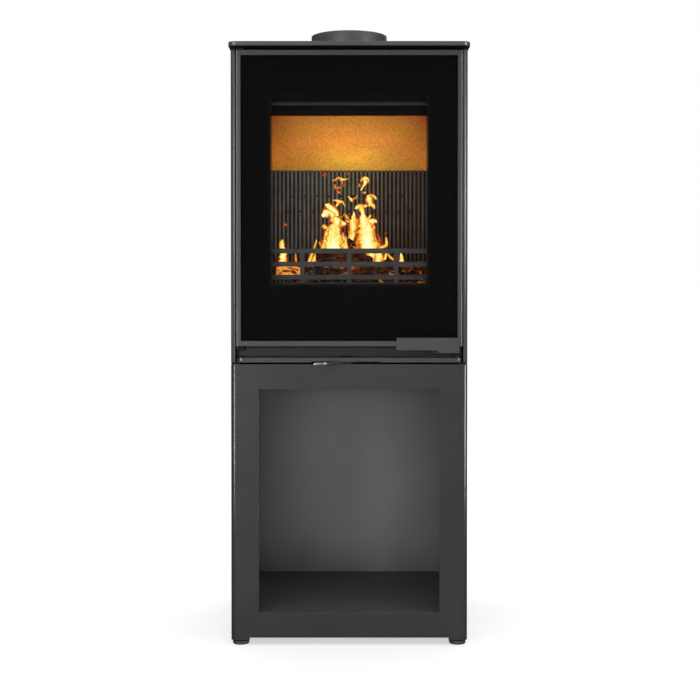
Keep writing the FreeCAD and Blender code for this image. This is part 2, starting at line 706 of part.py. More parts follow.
STRIP_Y = (-168.0, -166.0)
STRIP_TAB_TOP_Z = 553.5
LATCH_SLOT_X = (148.5, 203.7)
LATCH_SLOT_Z = (544.0, 554.5)
TOP_CORNER = 14.0
TOP_SPACERS = ((-170.0, -125.0), (170.0, -125.0), (-170.0, 120.0), (170.0, 120.0))
FLANGE_R = 96.0
FLANGE_Z = (BOX_TOP_Z, BOX_TOP_Z + 5.0)
FLANGE_BOLTS_R = 86.5
FLANGE_BOLT_ANGLES = (45.0, 135.0, 225.0, 315.0)


def front_strip():
    """Recessed strip between door and ledge, with tabs to the air box, a latch slot and a hinge corner."""
    half = DOOR_HALF - 0.5
    face = block((-half, half), STRIP_Y, STRIP_Z)
    tab = block((half - THIN, half), (STRIP_Y[1], SEAT[1] - PLATE), (STRIP_Z[0], STRIP_TAB_TOP_Z))
    slot = block(LATCH_SLOT_X, past(STRIP_Y), LATCH_SLOT_Z)
    corner = block((-half - OVERCUT, -193.0), past(STRIP_Y), (STRIP_TAB_TOP_Z, STRIP_Z[1] + OVERCUT))
    return cut(fuse([face] + both_sides(tab)), [slot, corner])


def top_plate():
    rim_radius, collar_gap = 1.2, 2.5
    plate = block((-TOP_HALF, TOP_HALF), (-TOP_HALF_DEPTH, TOP_HALF_DEPTH), TOP_Z)
    plate = upright_fillet(plate, TOP_CORNER, lambda c: True)
    rim = [e for e in plate.Edges if e.BoundBox.ZMin > TOP_Z[1] - 0.01]
    plate = plate.makeFillet(rim_radius, rim)
    return plate.cut(drill(FLUE_AXIS, COLLAR_R + collar_gap, TOP_Z))


def top_spacers():
    return [ring(p, 9.0, M6_HOLE_R, (BOX_TOP_Z, TOP_Z[0])) for p in TOP_SPACERS]


def collar_bolt_centres():
    turns = [math.radians(angle) for angle in FLANGE_BOLT_ANGLES]
    return [(FLANGE_BOLTS_R * math.cos(turn), FLANGE_BOLTS_R * math.sin(turn)) for turn in turns]


def flue_collar():
    """Cast spigot: flange on the firebox top, and a shoulder at the top plate."""
    flange = post(FLUE_AXIS, FLANGE_R, FLANGE_Z)
    root = post(FLUE_AXIS, COLLAR_R - 0.6, (BOX_TOP_Z, TOP_Z[1]))
    spigot = post(FLUE_AXIS, COLLAR_R, (TOP_Z[1], COLLAR_TOP_Z))
    tools = [drill(p, M6_HOLE_R, FLANGE_Z) for p in collar_bolt_centres()]
    tools.append(drill(FLUE_AXIS, COLLAR_BORE_R, (BOX_TOP_Z, COLLAR_TOP_Z)))
    return cut(fuse([flange, root, spigot]), tools)


def collar_bolts():
    head_z = (FLANGE_Z[1], FLANGE_Z[1] + 4.0)
    shapes = []
    for p in collar_bolt_centres():
        shank = post(p, M6_R, (BOX_TOP_Z - WALL, FLANGE_Z[1]))
        shapes.append(fuse([hex_prism(p, M6_FLATS, head_z), shank]))
    return shapes


# ---- door ---------------------------------------------------------------------------
LIP = 9.2                  # visible rim round the glass
LIP_THICK = 3.0
RAIL = 6.0                 # frame wall behind the lip
LUG_REACH = 7.0            # lugs that carry the clamp screws
LUG_HALF = 7.0
LUG_DEPTH = 6.0
CLAMPS_Z = (690.0, 980.0)  # clamp screws up the sides
CLAMPS_X = (-110.0, 110.0)   # clamp screws along the top and bottom
PIN_HOLE = 5.5             # depth of the hinge-pin holes in the door
GLASS_Y = (-179.7, -175.7)
TAPE_Y = (-175.7, -173.7)
INNER_Y = (-173.7, -170.7)
WINDOW = (160.0, 648.0, 1050.0)
CHANNEL_MID = 188.0        # rope channel, half the width to its middle
CHANNEL_HALF = 7.0
RIB_BACK = -160.0          # rear edge of the channel's ribs
ROPE_HALF = 6.8


def door_offset(inset):
    """Rectangle that lies inset mm inside the door's outline, as (half, z0, z1)."""
    return (DOOR_HALF - inset, DOOR_Z[0] + inset, DOOR_Z[1] - inset)


def clamp_places():
    """Middles of the lugs whose screws press the inner frame onto the glass, as (x, z, on a side rail)."""
    edge, low, high = door_offset(RAIL + 0.5 * LUG_REACH)
    sides = [(x, z, True) for z in CLAMPS_Z for x in (-edge, edge)]
    ends = [(x, z, False) for x in CLAMPS_X for z in (low, high)]
    return sides + ends


def lug_y():
    return (INNER_Y[1], INNER_Y[1] + LUG_DEPTH)


def clamp_lugs():
    shapes = []
    for x, z, on_side in clamp_places():
        across = 0.5 * LUG_REACH if on_side else LUG_HALF
        up = LUG_HALF if on_side else 0.5 * LUG_REACH
        shapes.append(block((x - across, x + across), lug_y(), (z - up, z + up)))
    return shapes


def door_frame():
    """Rim with a lip in front of the glass, lugs for the clamp screws and blind holes for the hinge pins."""
    rear = FRONT + DOOR_DEPTH
    edge_radius = 3.0
    front = block((-DOOR_HALF, DOOR_HALF), (FRONT, rear), DOOR_Z)
    front = upright_fillet(front, edge_radius, lambda c: c.y < FRONT + 1.0)
    lip_hole = door_offset(LIP)
    well = door_offset(RAIL)
    solid = cut(front, [block((-lip_hole[0], lip_hole[0]), past((FRONT, rear)), lip_hole[1:]),
                        block((-well[0], well[0]), (FRONT + LIP_THICK, rear + OVERCUT), well[1:])])
    bores = [drill_y(x, z, SCREW_R, lug_y()) for x, z, on_side in clamp_places()]
    for z in ((DOOR_Z[0] - OVERCUT, DOOR_Z[0] + PIN_HOLE), (DOOR_Z[1] - PIN_HOLE, DOOR_Z[1] + OVERCUT)):
        bores.append(post(HINGE, HINGE_PIN_R + FIT, z))
    return cut(fuse([solid] + clamp_lugs()), bores)


def door_glass():
    half, low, high = door_offset(RAIL + 0.5)
    return block((-half, half), GLASS_Y, (low, high))


def glass_tape():
    return frame_xz(door_offset(RAIL + 1.0), door_offset(RAIL + 9.0), TAPE_Y)


def door_inner_frame():
    plate = frame_xz(door_offset(RAIL + 0.5), WINDOW, INNER_Y)
    rib_y = (INNER_Y[1], RIB_BACK)
    middle = DOOR_HALF - CHANNEL_MID
    near, far = CHANNEL_HALF, CHANNEL_HALF + PLATE
    outer_rib = frame_xz(door_offset(middle - far), door_offset(middle - near), rib_y)
    inner_rib = frame_xz(door_offset(middle + near), door_offset(middle + far), rib_y)
    return fuse([plate, outer_rib, inner_rib])


def door_rope():
    """Seal rope in the channel, nearly as wide as it, with rounded long edges."""
    middle = DOOR_HALF - CHANNEL_MID
    y = (INNER_Y[1] + 3.2, SEAT[0] - 0.5)
    rope = frame_xz(door_offset(middle - ROPE_HALF), door_offset(middle + ROPE_HALF), y)
    long_edges = [e for e in rope.Edges if e.Length > WINDOW[0]]
    return rope.makeFillet(6.0, long_edges)


def clamp_screws():
    head_r, head_height, length = 3.3, 2.5, 8.0
    shapes = []
    for x, z, on_side in clamp_places():
        under = INNER_Y[1] + length
        shank = rod_y(x, z, SCREW_R - FIT, (INNER_Y[1], under))
        shapes.append(fuse([shank, rod_y(x, z, head_r, (under, under + head_height))]))
    return shapes


HINGE_PLATE_X = (-212.0, -196.0)
HINGE_PLATE_FRONT = -182.0
LOWER_BRACKET_Z = (554.0, 558.0)
UPPER_BRACKET_Z = (DOOR_Z[1] + 1.0, DOOR_Z[1] + 4.0)
PIN_REACH = 5.0            # length of a hinge pin inside the door


def hinge_brackets():
    """Lower plate from the air box and upper plate from the firebox frame, each holding a pin."""
    shapes = []
    for z, root_y in ((LOWER_BRACKET_Z, SEAT[1] - PLATE), (UPPER_BRACKET_Z, SEAT[1])):
        plate = block(HINGE_PLATE_X, (HINGE_PLATE_FRONT, root_y), z)
        shapes.append(plate.cut(drill(HINGE, HINGE_PIN_R, z)))
    return shapes


def hinge_pins():
    lower = post(HINGE, HINGE_PIN_R, (LOWER_BRACKET_Z[0] - THIN, DOOR_Z[0] + PIN_REACH))
    upper = post(HINGE, HINGE_PIN_R, (DOOR_Z[1] - PIN_REACH, UPPER_BRACKET_Z[1] + 0.8))
    return [lower, upper]


def hinge_washer():
    return ring(HINGE, 4.4, HINGE_PIN_R, (LOWER_BRACKET_Z[1], DOOR_Z[0] - 0.4))


# ---- handle and latch ---------------------------------------------------------------
HANDLE_X = (88.0, 204.4)
HANDLE_Y = (-195.5, -192.5)
HANDLE_Z = (552.6, 576.0)
HANDLE_LIP_X = (163.0, 168.0)   # sloping end of the lip that turns down to the arm
ARM_Z = (547.5, 551.0)
ARM_ROOT = (172.0, -182.0)      # left end and rear edge of the arm's root, as (x, y)
HOOK_Y = (-158.0, -154.5)
HOOK_X = (2.6, 9.0)             # hook, to the right of the pin's axis
LUG_X = (189.0, 204.0)
LUG_Y = (-182.0, -169.5)
LUG_FOOT_Z = 552.0
PIN_HEAD_Z = (544.2, 546.6)
KEEPER_X = (200.5, 208.5)
KEEPER_Y = (-161.5, -158.5)
KEEPER_TOP_Z = 553.0


def handle_plate():
    """Flat plate across the door's bottom rail, with a lip down to the latch arm at its pivot end."""
    right, front = HANDLE_X[1], HANDLE_Y[0]
    face = block(HANDLE_X, HANDLE_Y, HANDLE_Z)
    outline = [(HANDLE_LIP_X[0], HANDLE_Z[0]), (HANDLE_LIP_X[1], ARM_Z[0])]
    outline += [(right, ARM_Z[0]), (right, HANDLE_Z[0])]
    lip = prism([Vector(x, front, z) for x, z in outline], Vector(0, HANDLE_Y[1] - front, 0))
    return fuse([face, lip])


def latch_arm():
    """Flat arm behind the handle: a broad root on the pivot, a shank and a hook at its end."""
    boss_r, web_half, shank_left = 8.0, 7.0, 5.0
    x, y = LATCH
    root = block((ARM_ROOT[0], HANDLE_X[1]), (HANDLE_Y[1], ARM_ROOT[1]), ARM_Z)
    boss = post(LATCH, boss_r, ARM_Z)
    web = block((x - web_half, x + web_half), (ARM_ROOT[1] - 0.5, y), ARM_Z)
    shank = block((x - shank_left, x + HOOK_X[0]), (y, HOOK_Y[1]), ARM_Z)
    hook = block((x + HOOK_X[0], x + HOOK_X[1]), HOOK_Y, ARM_Z)
    return fuse([root, boss, web, shank, hook]).cut(drill(LATCH, LATCH_PIN_R + FIT, ARM_Z))


def latch_lug():
    """Block under the door's bottom rail that holds the handle's pin."""
    z = (LUG_FOOT_Z, DOOR_Z[0])
    return block(LUG_X, LUG_Y, z).cut(drill(LATCH, LATCH_PIN_R, z))


def latch_pin():
    shank = post(LATCH, LATCH_PIN_R, (PIN_HEAD_Z[0], DOOR_Z[0]))
    return fuse([shank, post(LATCH, 5.5, PIN_HEAD_Z)])


def door_keeper():
    """Bent plate on the tray that the hook draws against."""
    upright = block(KEEPER_X, KEEPER_Y, (TRAY_Z[1], KEEPER_TOP_Z))
    foot = block(KEEPER_X, (KEEPER_Y[1], SEAT[1] - PLATE), (TRAY_Z[1], TRAY_Z[1] + 2.5))
    return fuse([upright, foot])


# ---- assembly -----------------------------------------------------------------------
def nodes():
    return {
        "base_shell": base_shell(), "base_floor": base_floor(), "base_floor_screws": base_floor_screws(),
        "base_back": base_back(), "base_top": base_top(), "feet": feet(), "foot_brackets": foot_brackets(),
        "foot_nuts": foot_nuts(), "body_spacers": body_spacers(), "body_bolts": body_bolts(),
        "bottom_tray": bottom_tray(), "air_valve_plate": air_valve_plate(), "air_pivot": air_pivot(),
        "air_pivot_clip": air_pivot_clip(), "air_shutter": air_shutter(), "air_lever_grip": air_lever_grip(),
        "air_inlet": air_inlet(), "inlet_duct": inlet_duct(), "air_box_front": air_box_front(),
        "firebox_right_wall": firebox_side(), "firebox_left_wall": mirrored(firebox_side()),
        "firebox_back_wall": firebox_back(), "firebox_top": firebox_top(), "firebox_front": firebox_front(),
        "ash_floor": ash_floor(), "hearth": hearth(), "grate": grate(), "ash_pan": ash_pan(),
        "baffle": baffle(), "back_lining": back_lining(), "right_lining": side_lining(),
        "left_lining": mirrored(side_lining()), "upper_deflector": upper_deflector(),
        "deflector_rails": deflector_rails(), "air_wash_deflector": air_wash_deflector(),
        "log_guard": log_guard(),
        "right_side_panel": side_panel(), "left_side_panel": mirrored(side_panel()),
        "panel_brackets": panel_brackets(), "rear_panel": rear_panel(), "rear_screws": rear_screws(),
        "front_strip": front_strip(), "top_plate": top_plate(), "top_spacers": top_spacers(),
        "flue_collar": flue_collar(), "collar_bolts": collar_bolts(),
        "door_frame": door_frame(), "door_glass": door_glass(), "glass_tape": glass_tape(),
        "door_inner_frame": door_inner_frame(), "door_rope": door_rope(), "clamp_screws": clamp_screws(),
        "hinge_brackets": hinge_brackets(), "hinge_pins": hinge_pins(), "hinge_washer": hinge_washer(),
        "handle_plate": handle_plate(), "latch_arm": latch_arm(),
        "latch_pin": latch_pin(), "latch_lug": latch_lug(), "door_keeper": door_keeper(),
    }


def main():
    os.makedirs(OUT, exist_ok=True)
    for name, shapes in nodes().items():
        save(name, shapes)


main()
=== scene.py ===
"""Looks of the wood burning stove: finishes, printed door glass, logs, fire, floor, light and camera.

The stove's lengths are millimetres until mm() turns them into the frame's metres. Lamps and camera are
placed in metres. +Z is up and the stove faces -Y.
"""

import json
import math

import bpy
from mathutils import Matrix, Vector, noise


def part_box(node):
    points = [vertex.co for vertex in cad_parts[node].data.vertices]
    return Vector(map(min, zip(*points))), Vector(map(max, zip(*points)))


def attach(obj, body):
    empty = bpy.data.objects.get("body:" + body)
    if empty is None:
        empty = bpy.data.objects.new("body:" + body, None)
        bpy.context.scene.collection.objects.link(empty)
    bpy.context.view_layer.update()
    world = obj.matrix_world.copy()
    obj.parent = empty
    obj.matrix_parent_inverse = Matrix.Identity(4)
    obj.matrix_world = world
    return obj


NOISE_SEED = 1             # without a seed, noise_vector differs from run to run
noise.seed_set(NOISE_SEED)

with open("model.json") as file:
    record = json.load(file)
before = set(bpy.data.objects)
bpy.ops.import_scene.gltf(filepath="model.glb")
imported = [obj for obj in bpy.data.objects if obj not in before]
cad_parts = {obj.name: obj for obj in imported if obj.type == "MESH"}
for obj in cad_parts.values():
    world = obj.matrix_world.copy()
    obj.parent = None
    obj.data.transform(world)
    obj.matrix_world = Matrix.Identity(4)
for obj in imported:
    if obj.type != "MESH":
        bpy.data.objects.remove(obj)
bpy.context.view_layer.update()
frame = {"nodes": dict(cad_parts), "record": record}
NODES = frame["nodes"]


# ---- small helpers ------------------------------------------------------------------
def mm(*values):
    """Millimetres to metres, as a vector or a single number."""
    return values[0] * 0.001 if len(values) == 1 else Vector(values) * 0.001


def to_mm(metres):
    """Metres to millimetres."""
    return metres * 1000.0


def grey(value):
    """A linear colour with three equal channels."""
    return (value, value, value)


def tinted(shade, share):
    """A colour made darker or lighter by a share."""
    return tuple(share * v for v in shade)


def add_object(name, verts, faces, material, body, smooth=True):
    """A mesh piece, in metres in the stove's frame, that rides on a body."""
    mesh = bpy.data.meshes.new(name)
    mesh.from_pydata([tuple(v) for v in verts], [], faces)
    mesh.update()
    mesh.polygons.foreach_set("use_smooth", [smooth] * len(mesh.polygons))
    mesh.materials.append(material)
    obj = bpy.data.objects.new(name, mesh)
    bpy.context.scene.collection.objects.link(obj)
    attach(obj, body)
    return obj


def smooth_path(points, steps):
    """Catmull-Rom curve through tuples of numbers, with the given steps in each span."""
    count = len(points)
    path = []
    for k in range(count - 1):
        before = points[max(k - 1, 0)]
        after = points[min(k + 2, count - 1)]
        for step in range(steps):
            t = step / steps
            path.append(tuple(
                0.5 * (2 * b + (c - a) * t + (2 * a - 5 * b + 4 * c - d) * t * t
                       + (3 * b - a - 3 * c + d) * t ** 3)
                for a, b, c, d in zip(before, points[k], points[k + 1], after)))
    path.append(tuple(points[-1]))
    return path


def ring_faces(rings, around):
    """Quads between successive rings of vertices."""
    faces = []
    for k in range(rings - 1):
        for j in range(around):
            a = k * around + j
            b = k * around + (j + 1) % around
            faces.append((a, b, b + around, a + around))
    return faces


# ---- shader nodes -------------------------------------------------------------------
class Finish:
    """One material: a Principled shader, and short ways to add the nodes that feed it.

    Keyword values go to the shader's own inputs, with underscores for the spaces in their labels.
    """

    def __init__(self, name, **values):
        self.material = bpy.data.materials.new(name)
        self.material.use_nodes = True
        self.tree = self.material.node_tree
        self.tree.nodes.clear()
        output = self.add("ShaderNodeOutputMaterial")
        self.shader = self.add("ShaderNodeBsdfPrincipled")
        self.join(self.shader.outputs["BSDF"], output.inputs["Surface"])
        self.place = self.add("ShaderNodeTexCoord").outputs["Object"]
        for label, value in values.items():
            self.shader.inputs[label.replace("_", " ")].default_value = value

    def add(self, kind, **settings):
        """A new node with the given settings."""
        node = self.tree.nodes.new(kind)
        for label, value in settings.items():
            setattr(node, label, value)
        return node

    def join(self, source, target):
        """Link two sockets."""
        self.tree.links.new(source, target)

    def stretch(self, scale, turn=(0, 0, 0)):
        """Object coordinates, scaled and turned."""
        node = self.add("ShaderNodeMapping")
        node.inputs["Scale"].default_value = scale
        node.inputs["Rotation"].default_value = turn
        self.join(self.place, node.inputs["Vector"])
        return node.outputs["Vector"]

    def noise(self, size, detail=3.0, place=None, distortion=0.0):
        """Noise whose features are about size millimetres across."""
        node = self.add("ShaderNodeTexNoise")
        node.inputs["Scale"].default_value = 1.0 / mm(size)
        node.inputs["Detail"].default_value = detail
        node.inputs["Distortion"].default_value = distortion
        self.join(place or self.place, node.inputs["Vector"])
        return node.outputs["Fac"]

    def cells(self, size, feature="F1", output="Distance", place=None):
        """Irregular cells about size millimetres across."""
        node = self.add("ShaderNodeTexVoronoi", feature=feature)
        node.inputs["Scale"].default_value = 1.0 / mm(size)
        self.join(place or self.place, node.inputs["Vector"])
        return node.outputs[output]

    def axis(self, letter):
        """One coordinate of the point, in metres."""
        node = self.add("ShaderNodeSeparateXYZ")
        self.join(self.place, node.inputs["Vector"])
        return node.outputs[letter]

    def facing(self, letter):
        """One coordinate of the surface normal, in the object's frame."""
        node = self.add("ShaderNodeSeparateXYZ")
        self.join(self.add("ShaderNodeTexCoord").outputs["Normal"], node.inputs["Vector"])
        return node.outputs[letter]

    def ramp(self, source, stops):
        """Colour ramp; stops are (position, colour) with the colour a grey or three numbers."""
        node = self.add("ShaderNodeValToRGB")
        elements = node.color_ramp.elements
        elements[0].position = stops[0][0]
        elements[1].position = stops[-1][0]
        for position, _ in stops[1:-1]:
            elements.new(position)
        for element, (position, colour) in zip(elements, stops):
            three = colour if isinstance(colour, tuple) else grey(colour)
            element.color = three + (1.0,)
        self.join(source, node.inputs["Fac"])
        return node.outputs["Color"]

    def fit(self, source, low, high, to_low=0.0, to_high=1.0, smooth=False):
        """Map one range of numbers to another, clamped."""
        node = self.add("ShaderNodeMapRange")
        node.interpolation_type = "SMOOTHSTEP" if smooth else "LINEAR"
        limits = {"From Min": low, "From Max": high, "To Min": to_low, "To Max": to_high}
        for label, value in limits.items():
            node.inputs[label].default_value = value
        self.join(source, node.inputs["Value"])
        return node.outputs["Result"]

    def maths(self, operation, a, b=None):
        """Arithmetic on numbers and sockets."""
        node = self.add("ShaderNodeMath", operation=operation)
        for socket, value in zip(node.inputs, (a, b)):
            if isinstance(value, (int, float)):
                socket.default_value = value
            elif value is not None:
                self.join(value, socket)
        return node.outputs["Value"]

    def mix(self, factor, a, b, blend="MIX"):
        """Mix of two colours, each three numbers or a socket."""
        node = self.add("ShaderNodeMix", data_type="RGBA", blend_type=blend)
        colour_in = [s for s in node.inputs if s.type == "RGBA"]
        for socket, value in ((node.inputs[0], factor), (colour_in[0], a), (colour_in[1], b)):
            if isinstance(value, tuple):
                socket.default_value = value + (1.0,)
            elif isinstance(value, (int, float)):
                socket.default_value = value
            else:
                self.join(value, socket)
        return [s for s in node.outputs if s.type == "RGBA"][0]

    def darken(self, colour, share):
        """A colour socket multiplied by a number socket."""
        return self.mix(1.0, colour, self.ramp(share, [(0.0, 0.0), (1.0, 1.0)]), "MULTIPLY")

    def attribute(self, name):
        """A number stored on the mesh."""
        node = self.add("ShaderNodeAttribute", attribute_name=name)
        return node.outputs["Fac"]

    def bump(self, height, depth, strength):
        """Bump whose full height is depth millimetres."""
        node = self.add("ShaderNodeBump")
        node.inputs["Distance"].default_value = mm(depth)
        node.inputs["Strength"].default_value = strength
        self.join(height, node.inputs["Height"])
        return node.outputs["Normal"]

    def feed(self, label, socket):
        """Link a socket to one of the shader's inputs."""
        self.join(socket, self.shader.inputs[label])


# ---- finishes -----------------------------------------------------------------------
IRON_SHINE = 0.12          # specular level of bare cast iron
SOOTY_SHINE = 0.05         # and of what is sooted or charred


def paint(name, shade, rough, grain=0.05, shine=0.35, under=1.0, painted_low_shade=None):
    """Heat-proof satin paint: an even fine grain, and slow changes of shade and gloss.

    under is the share of the shade left on faces that look down, a painted shade for the shadow beneath an
    overhang. worn is (low, high, share): a painted shade that darkens the paint to that share below the
    height low and leaves it untouched above the height high, for a low part that gets less light.
    """
    finish = Finish(name, Specular_IOR_Level=shine)
    slow = finish.noise(160.0, 2.0)
    fine = finish.noise(0.9, 2.0)
    base = finish.ramp(slow, [(0.3, tinted(shade, 0.90)), (0.7, tinted(shade, 1.08))])
    speck = finish.ramp(fine, [(0.35, 0.86), (0.65, 1.10)])
    colour = finish.mix(1.0, base, speck, "MULTIPLY")
    # painted shade: the paint darkens towards the bottom of the part, for the low part that gets less light
    if painted_low_shade:
        low, high, share = painted_low_shade
        height = finish.maths("ADD", finish.axis("Z"), finish.maths("MULTIPLY", slow, mm(60.0)))
        low_shade_share = finish.fit(height, mm(low), mm(high), share, 1.0, smooth=True)
        colour = finish.darken(colour, low_shade_share)
    # painted shade: faces that look down are darkened, for the shadow beneath an overhang
    if under < 1.0:
        below = finish.fit(finish.facing("Z"), -0.8, -0.6, 1.0, 0.0)
        colour = finish.mix(below, colour, tinted(shade, under))
    finish.feed("Base Color", colour)
    gloss = finish.fit(finish.noise(45.0, 3.0), 0.3, 0.7, rough - 0.01, rough + 0.015)
    finish.feed("Roughness", gloss)
    finish.feed("Normal", finish.bump(fine, grain, 0.55))
    return finish.material


def cast_iron(name, shade):
    """Sand-cast surface with its own darker and lighter patches."""
    finish = Finish(name, Specular_IOR_Level=IRON_SHINE)
    patches = finish.noise(28.0, 4.0)
    sand = finish.noise(1.6, 3.0)
    base = finish.ramp(patches, [(0.3, tinted(shade, 0.7)), (0.7, tinted(shade, 1.25))])
    grains = finish.ramp(sand, [(0.3, 0.8), (0.7, 1.15)])
    finish.feed("Base Color", finish.mix(1.0, base, grains, "MULTIPLY"))
    finish.feed("Roughness", finish.fit(patches, 0.3, 0.7, 0.54, 0.72))
    finish.feed("Normal", finish.bump(sand, 0.25, 0.7))
    return finish.material


RIBS_BLEND_HALF = 120.0    # the lining's colour changes over twice this width
GROOVE_SHADE_DEPTH = 2.5         # the painted shade in the grooves reaches its darkest at this depth


def sooty_ribs_with_groove_shade():
    """The ribbed back lining: bluish iron on the left, greyer to the right, with a sooty mottle and painted
    shade that darkens the grooves with their depth.
    """
    finish = Finish("sooty_ribs_with_groove_shade", Specular_IOR_Level=SOOTY_SHINE)
    side = finish.fit(finish.axis("X"), mm(-RIBS_BLEND_HALF), mm(RIBS_BLEND_HALF), smooth=True)
    base = finish.mix(side, (0.120, 0.160, 0.195), (0.090, 0.097, 0.100))
    soot = finish.ramp(finish.noise(22.0, 4.0), [(0.35, 0.86), (0.65, 1.08)])
    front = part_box("back_lining")[0].y
    # painted shade: the lining darkens with depth into the grooves between its ribs
    painted_groove_shade = finish.fit(finish.axis("Y"), front, front + mm(GROOVE_SHADE_DEPTH), 1.0, 0.26)
    finish.feed("Base Color", finish.darken(finish.mix(1.0, base, soot, "MULTIPLY"), painted_groove_shade))
    finish.feed("Roughness", finish.fit(finish.noise(9.0, 3.0), 0.3, 0.7, 0.6, 0.8))
    finish.feed("Normal", finish.bump(finish.noise(1.4, 3.0), 0.25, 0.7))
    return finish.material


BOARD_TOP = 1004.0         # the painted firelight on the boards is dimmest at this height
BOARD_HALF = 165.0         # and at this distance from the middle


def vermiculite():
    """Pressed board: golden flakes with painted firelight, lighter and golden near the fire at the bottom
    middle and darker and browner upward and outward; sooty on its upper side.
    """
    finish = Finish("vermiculite_board", Specular_IOR_Level=SOOTY_SHINE)
    flakes = finish.cells(2.4, output="Color")
    tone = finish.add("ShaderNodeRGBToBW")
    finish.join(flakes, tone.inputs["Color"])
    speck = finish.ramp(tone.outputs["Val"], [(0.15, 0.74), (0.5, 1.0), (0.9, 1.22)])
    rise = finish.fit(finish.axis("Z"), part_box("baffle")[0].z, mm(BOARD_TOP))
    aside = finish.fit(finish.maths("ABSOLUTE", finish.axis("X")), 0.0, mm(BOARD_HALF))
    outward = finish.maths("MULTIPLY", finish.maths("MULTIPLY", aside, aside), 0.28)
    away = finish.maths("ADD", finish.maths("MULTIPLY", rise, 0.85), outward)
    # painted firelight: the board is lighter and golden near the fire at the bottom middle, and darker and
    # browner upward and outward, where less firelight falls
    painted_lit = finish.ramp(away, [
        (0.1, (0.68, 0.49, 0.092)), (0.52, (0.68, 0.355, 0.080)),
        (0.76, (0.52, 0.28, 0.048)), (1.0, (0.40, 0.14, 0.040))])
    cloud = finish.ramp(finish.noise(60.0, 3.0), [(0.3, 0.94), (0.7, 1.04)])
    painted_lit = finish.mix(1.0, finish.mix(1.0, painted_lit, speck, "MULTIPLY"), cloud, "MULTIPLY")
    soot = finish.fit(finish.facing("Z"), 0.1, 0.3)
    finish.feed("Base Color", finish.mix(soot, painted_lit, (0.011, 0.0085, 0.006)))
    finish.feed("Roughness", finish.fit(finish.noise(3.0, 2.0), 0.3, 0.7, 0.78, 0.95))
    finish.feed("Normal", finish.bump(finish.noise(1.8, 3.0), 0.4, 0.8))
    return finish.material


def sooty_plate_with_painted_shade(lip_rear, lip):
    """Steel plate with a sooty mottle, painted near black behind its lip as painted shade for the recess
    above the lip; the lip, in front of lip_rear, keeps the lip's shade.
    """
    finish = Finish("sooty_plate_with_painted_shade", Specular_IOR_Level=SOOTY_SHINE)
    # painted shade: only the lip keeps its paint; behind it the plate is painted near black for the shade of
    # the recess above the lip
    painted_lit = finish.fit(finish.axis("Y"), mm(lip_rear - 0.5), mm(lip_rear + 0.5), 1.0, 0.0)
    soot = finish.ramp(finish.noise(14.0, 3.0), [(0.3, 0.0035), (0.7, 0.007)])
    finish.feed("Base Color", finish.mix(painted_lit, soot, lip))
    finish.feed("Roughness", finish.fit(finish.noise(6.0, 3.0), 0.3, 0.7, 0.7, 0.85))
    finish.feed("Normal", finish.bump(finish.noise(1.2, 2.0), 0.1, 0.5))
    return finish.material


TOOL_MARKS = 900.0         # scale of the bands that stand for turning marks


def metal(name, shade, rough, lines=None):
    """Bare metal; lines is the turn about Z of fine tool marks."""
    finish = Finish(name, Metallic=1.0)
    cloud = finish.noise(7.0, 3.0)
    finish.feed("Base Color", finish.ramp(cloud, [(0.3, tinted(shade, 0.86)), (0.7, shade)]))
    finish.feed("Roughness", finish.fit(cloud, 0.3, 0.7, rough - 0.05, rough + 0.07))
    if lines is None:
        marks = finish.noise(0.8, 2.0)
    else:
        wave = finish.add("ShaderNodeTexWave", wave_type="BANDS", bands_direction="Y")
        wave.inputs["Scale"].default_value = TOOL_MARKS
        finish.join(finish.stretch((1, 1, 1), (0, 0, lines)), wave.inputs["Vector"])
        marks = wave.outputs["Fac"]
    finish.feed("Normal", finish.bump(marks, 0.03, 0.5))
    return finish.material


GLASS_IOR = 1.2            # below real glass, so that it mirrors less of the lamps


def clear_glass():
    """Ceramic glass, clear, with the faintest drift of tint."""
    finish = Finish("ceramic_glass", Roughness=0.0, IOR=GLASS_IOR, Transmission_Weight=1.0)
    drift = finish.noise(90.0, 2.0)
    finish.feed("Base Color", finish.ramp(drift, [(0.3, (0.97, 0.96, 0.95)), (0.7, (1.0, 0.99, 0.98))]))
    return finish.material


PRINT_HALF = 150.5         # half width at which the print is solid
PRINT_Z = (670.0, 1029.0)
PRINT_FADE = 9.0           # the print's edge fades out over this width


def black_print():
    """Black enamel printed round the window, faded out at its inner edge."""
    finish = Finish("black_print", Specular_IOR_Level=0.0)
    fine = finish.noise(0.7, 2.0)
    finish.feed("Base Color", finish.ramp(fine, [(0.3, 0.0036), (0.7, 0.0064)]))
    finish.feed("Roughness", finish.fit(finish.noise(30.0, 2.0), 0.3, 0.7, 0.28, 0.4))
    across = finish.maths("ABSOLUTE", finish.axis("X"))
    height = finish.axis("Z")
    side = finish.fit(across, mm(PRINT_HALF - PRINT_FADE), mm(PRINT_HALF), 1.0, 0.0, smooth=True)
    low = finish.fit(height, mm(PRINT_Z[0]), mm(PRINT_Z[0] + PRINT_FADE), smooth=True)
    high = finish.fit(height, mm(PRINT_Z[1] - PRINT_FADE), mm(PRINT_Z[1]), 1.0, 0.0, smooth=True)
    window = finish.maths("MULTIPLY", finish.maths("MULTIPLY", low, high), side)
    finish.feed("Alpha", finish.maths("SUBTRACT", 1.0, window))
    return finish.material


def woven(name, shade):
    """Glass-fibre braid."""
    finish = Finish(name)
    cells = finish.cells(1.6)
    finish.feed("Base Color", finish.ramp(cells, [(0.1, tinted(shade, 1.3)), (0.7, tinted(shade, 0.5))]))
    finish.feed("Roughness", finish.fit(cells, 0.0, 1.0, 0.75, 0.95))
    finish.feed("Normal", finish.bump(cells, 0.5, 0.8))
    return finish.material


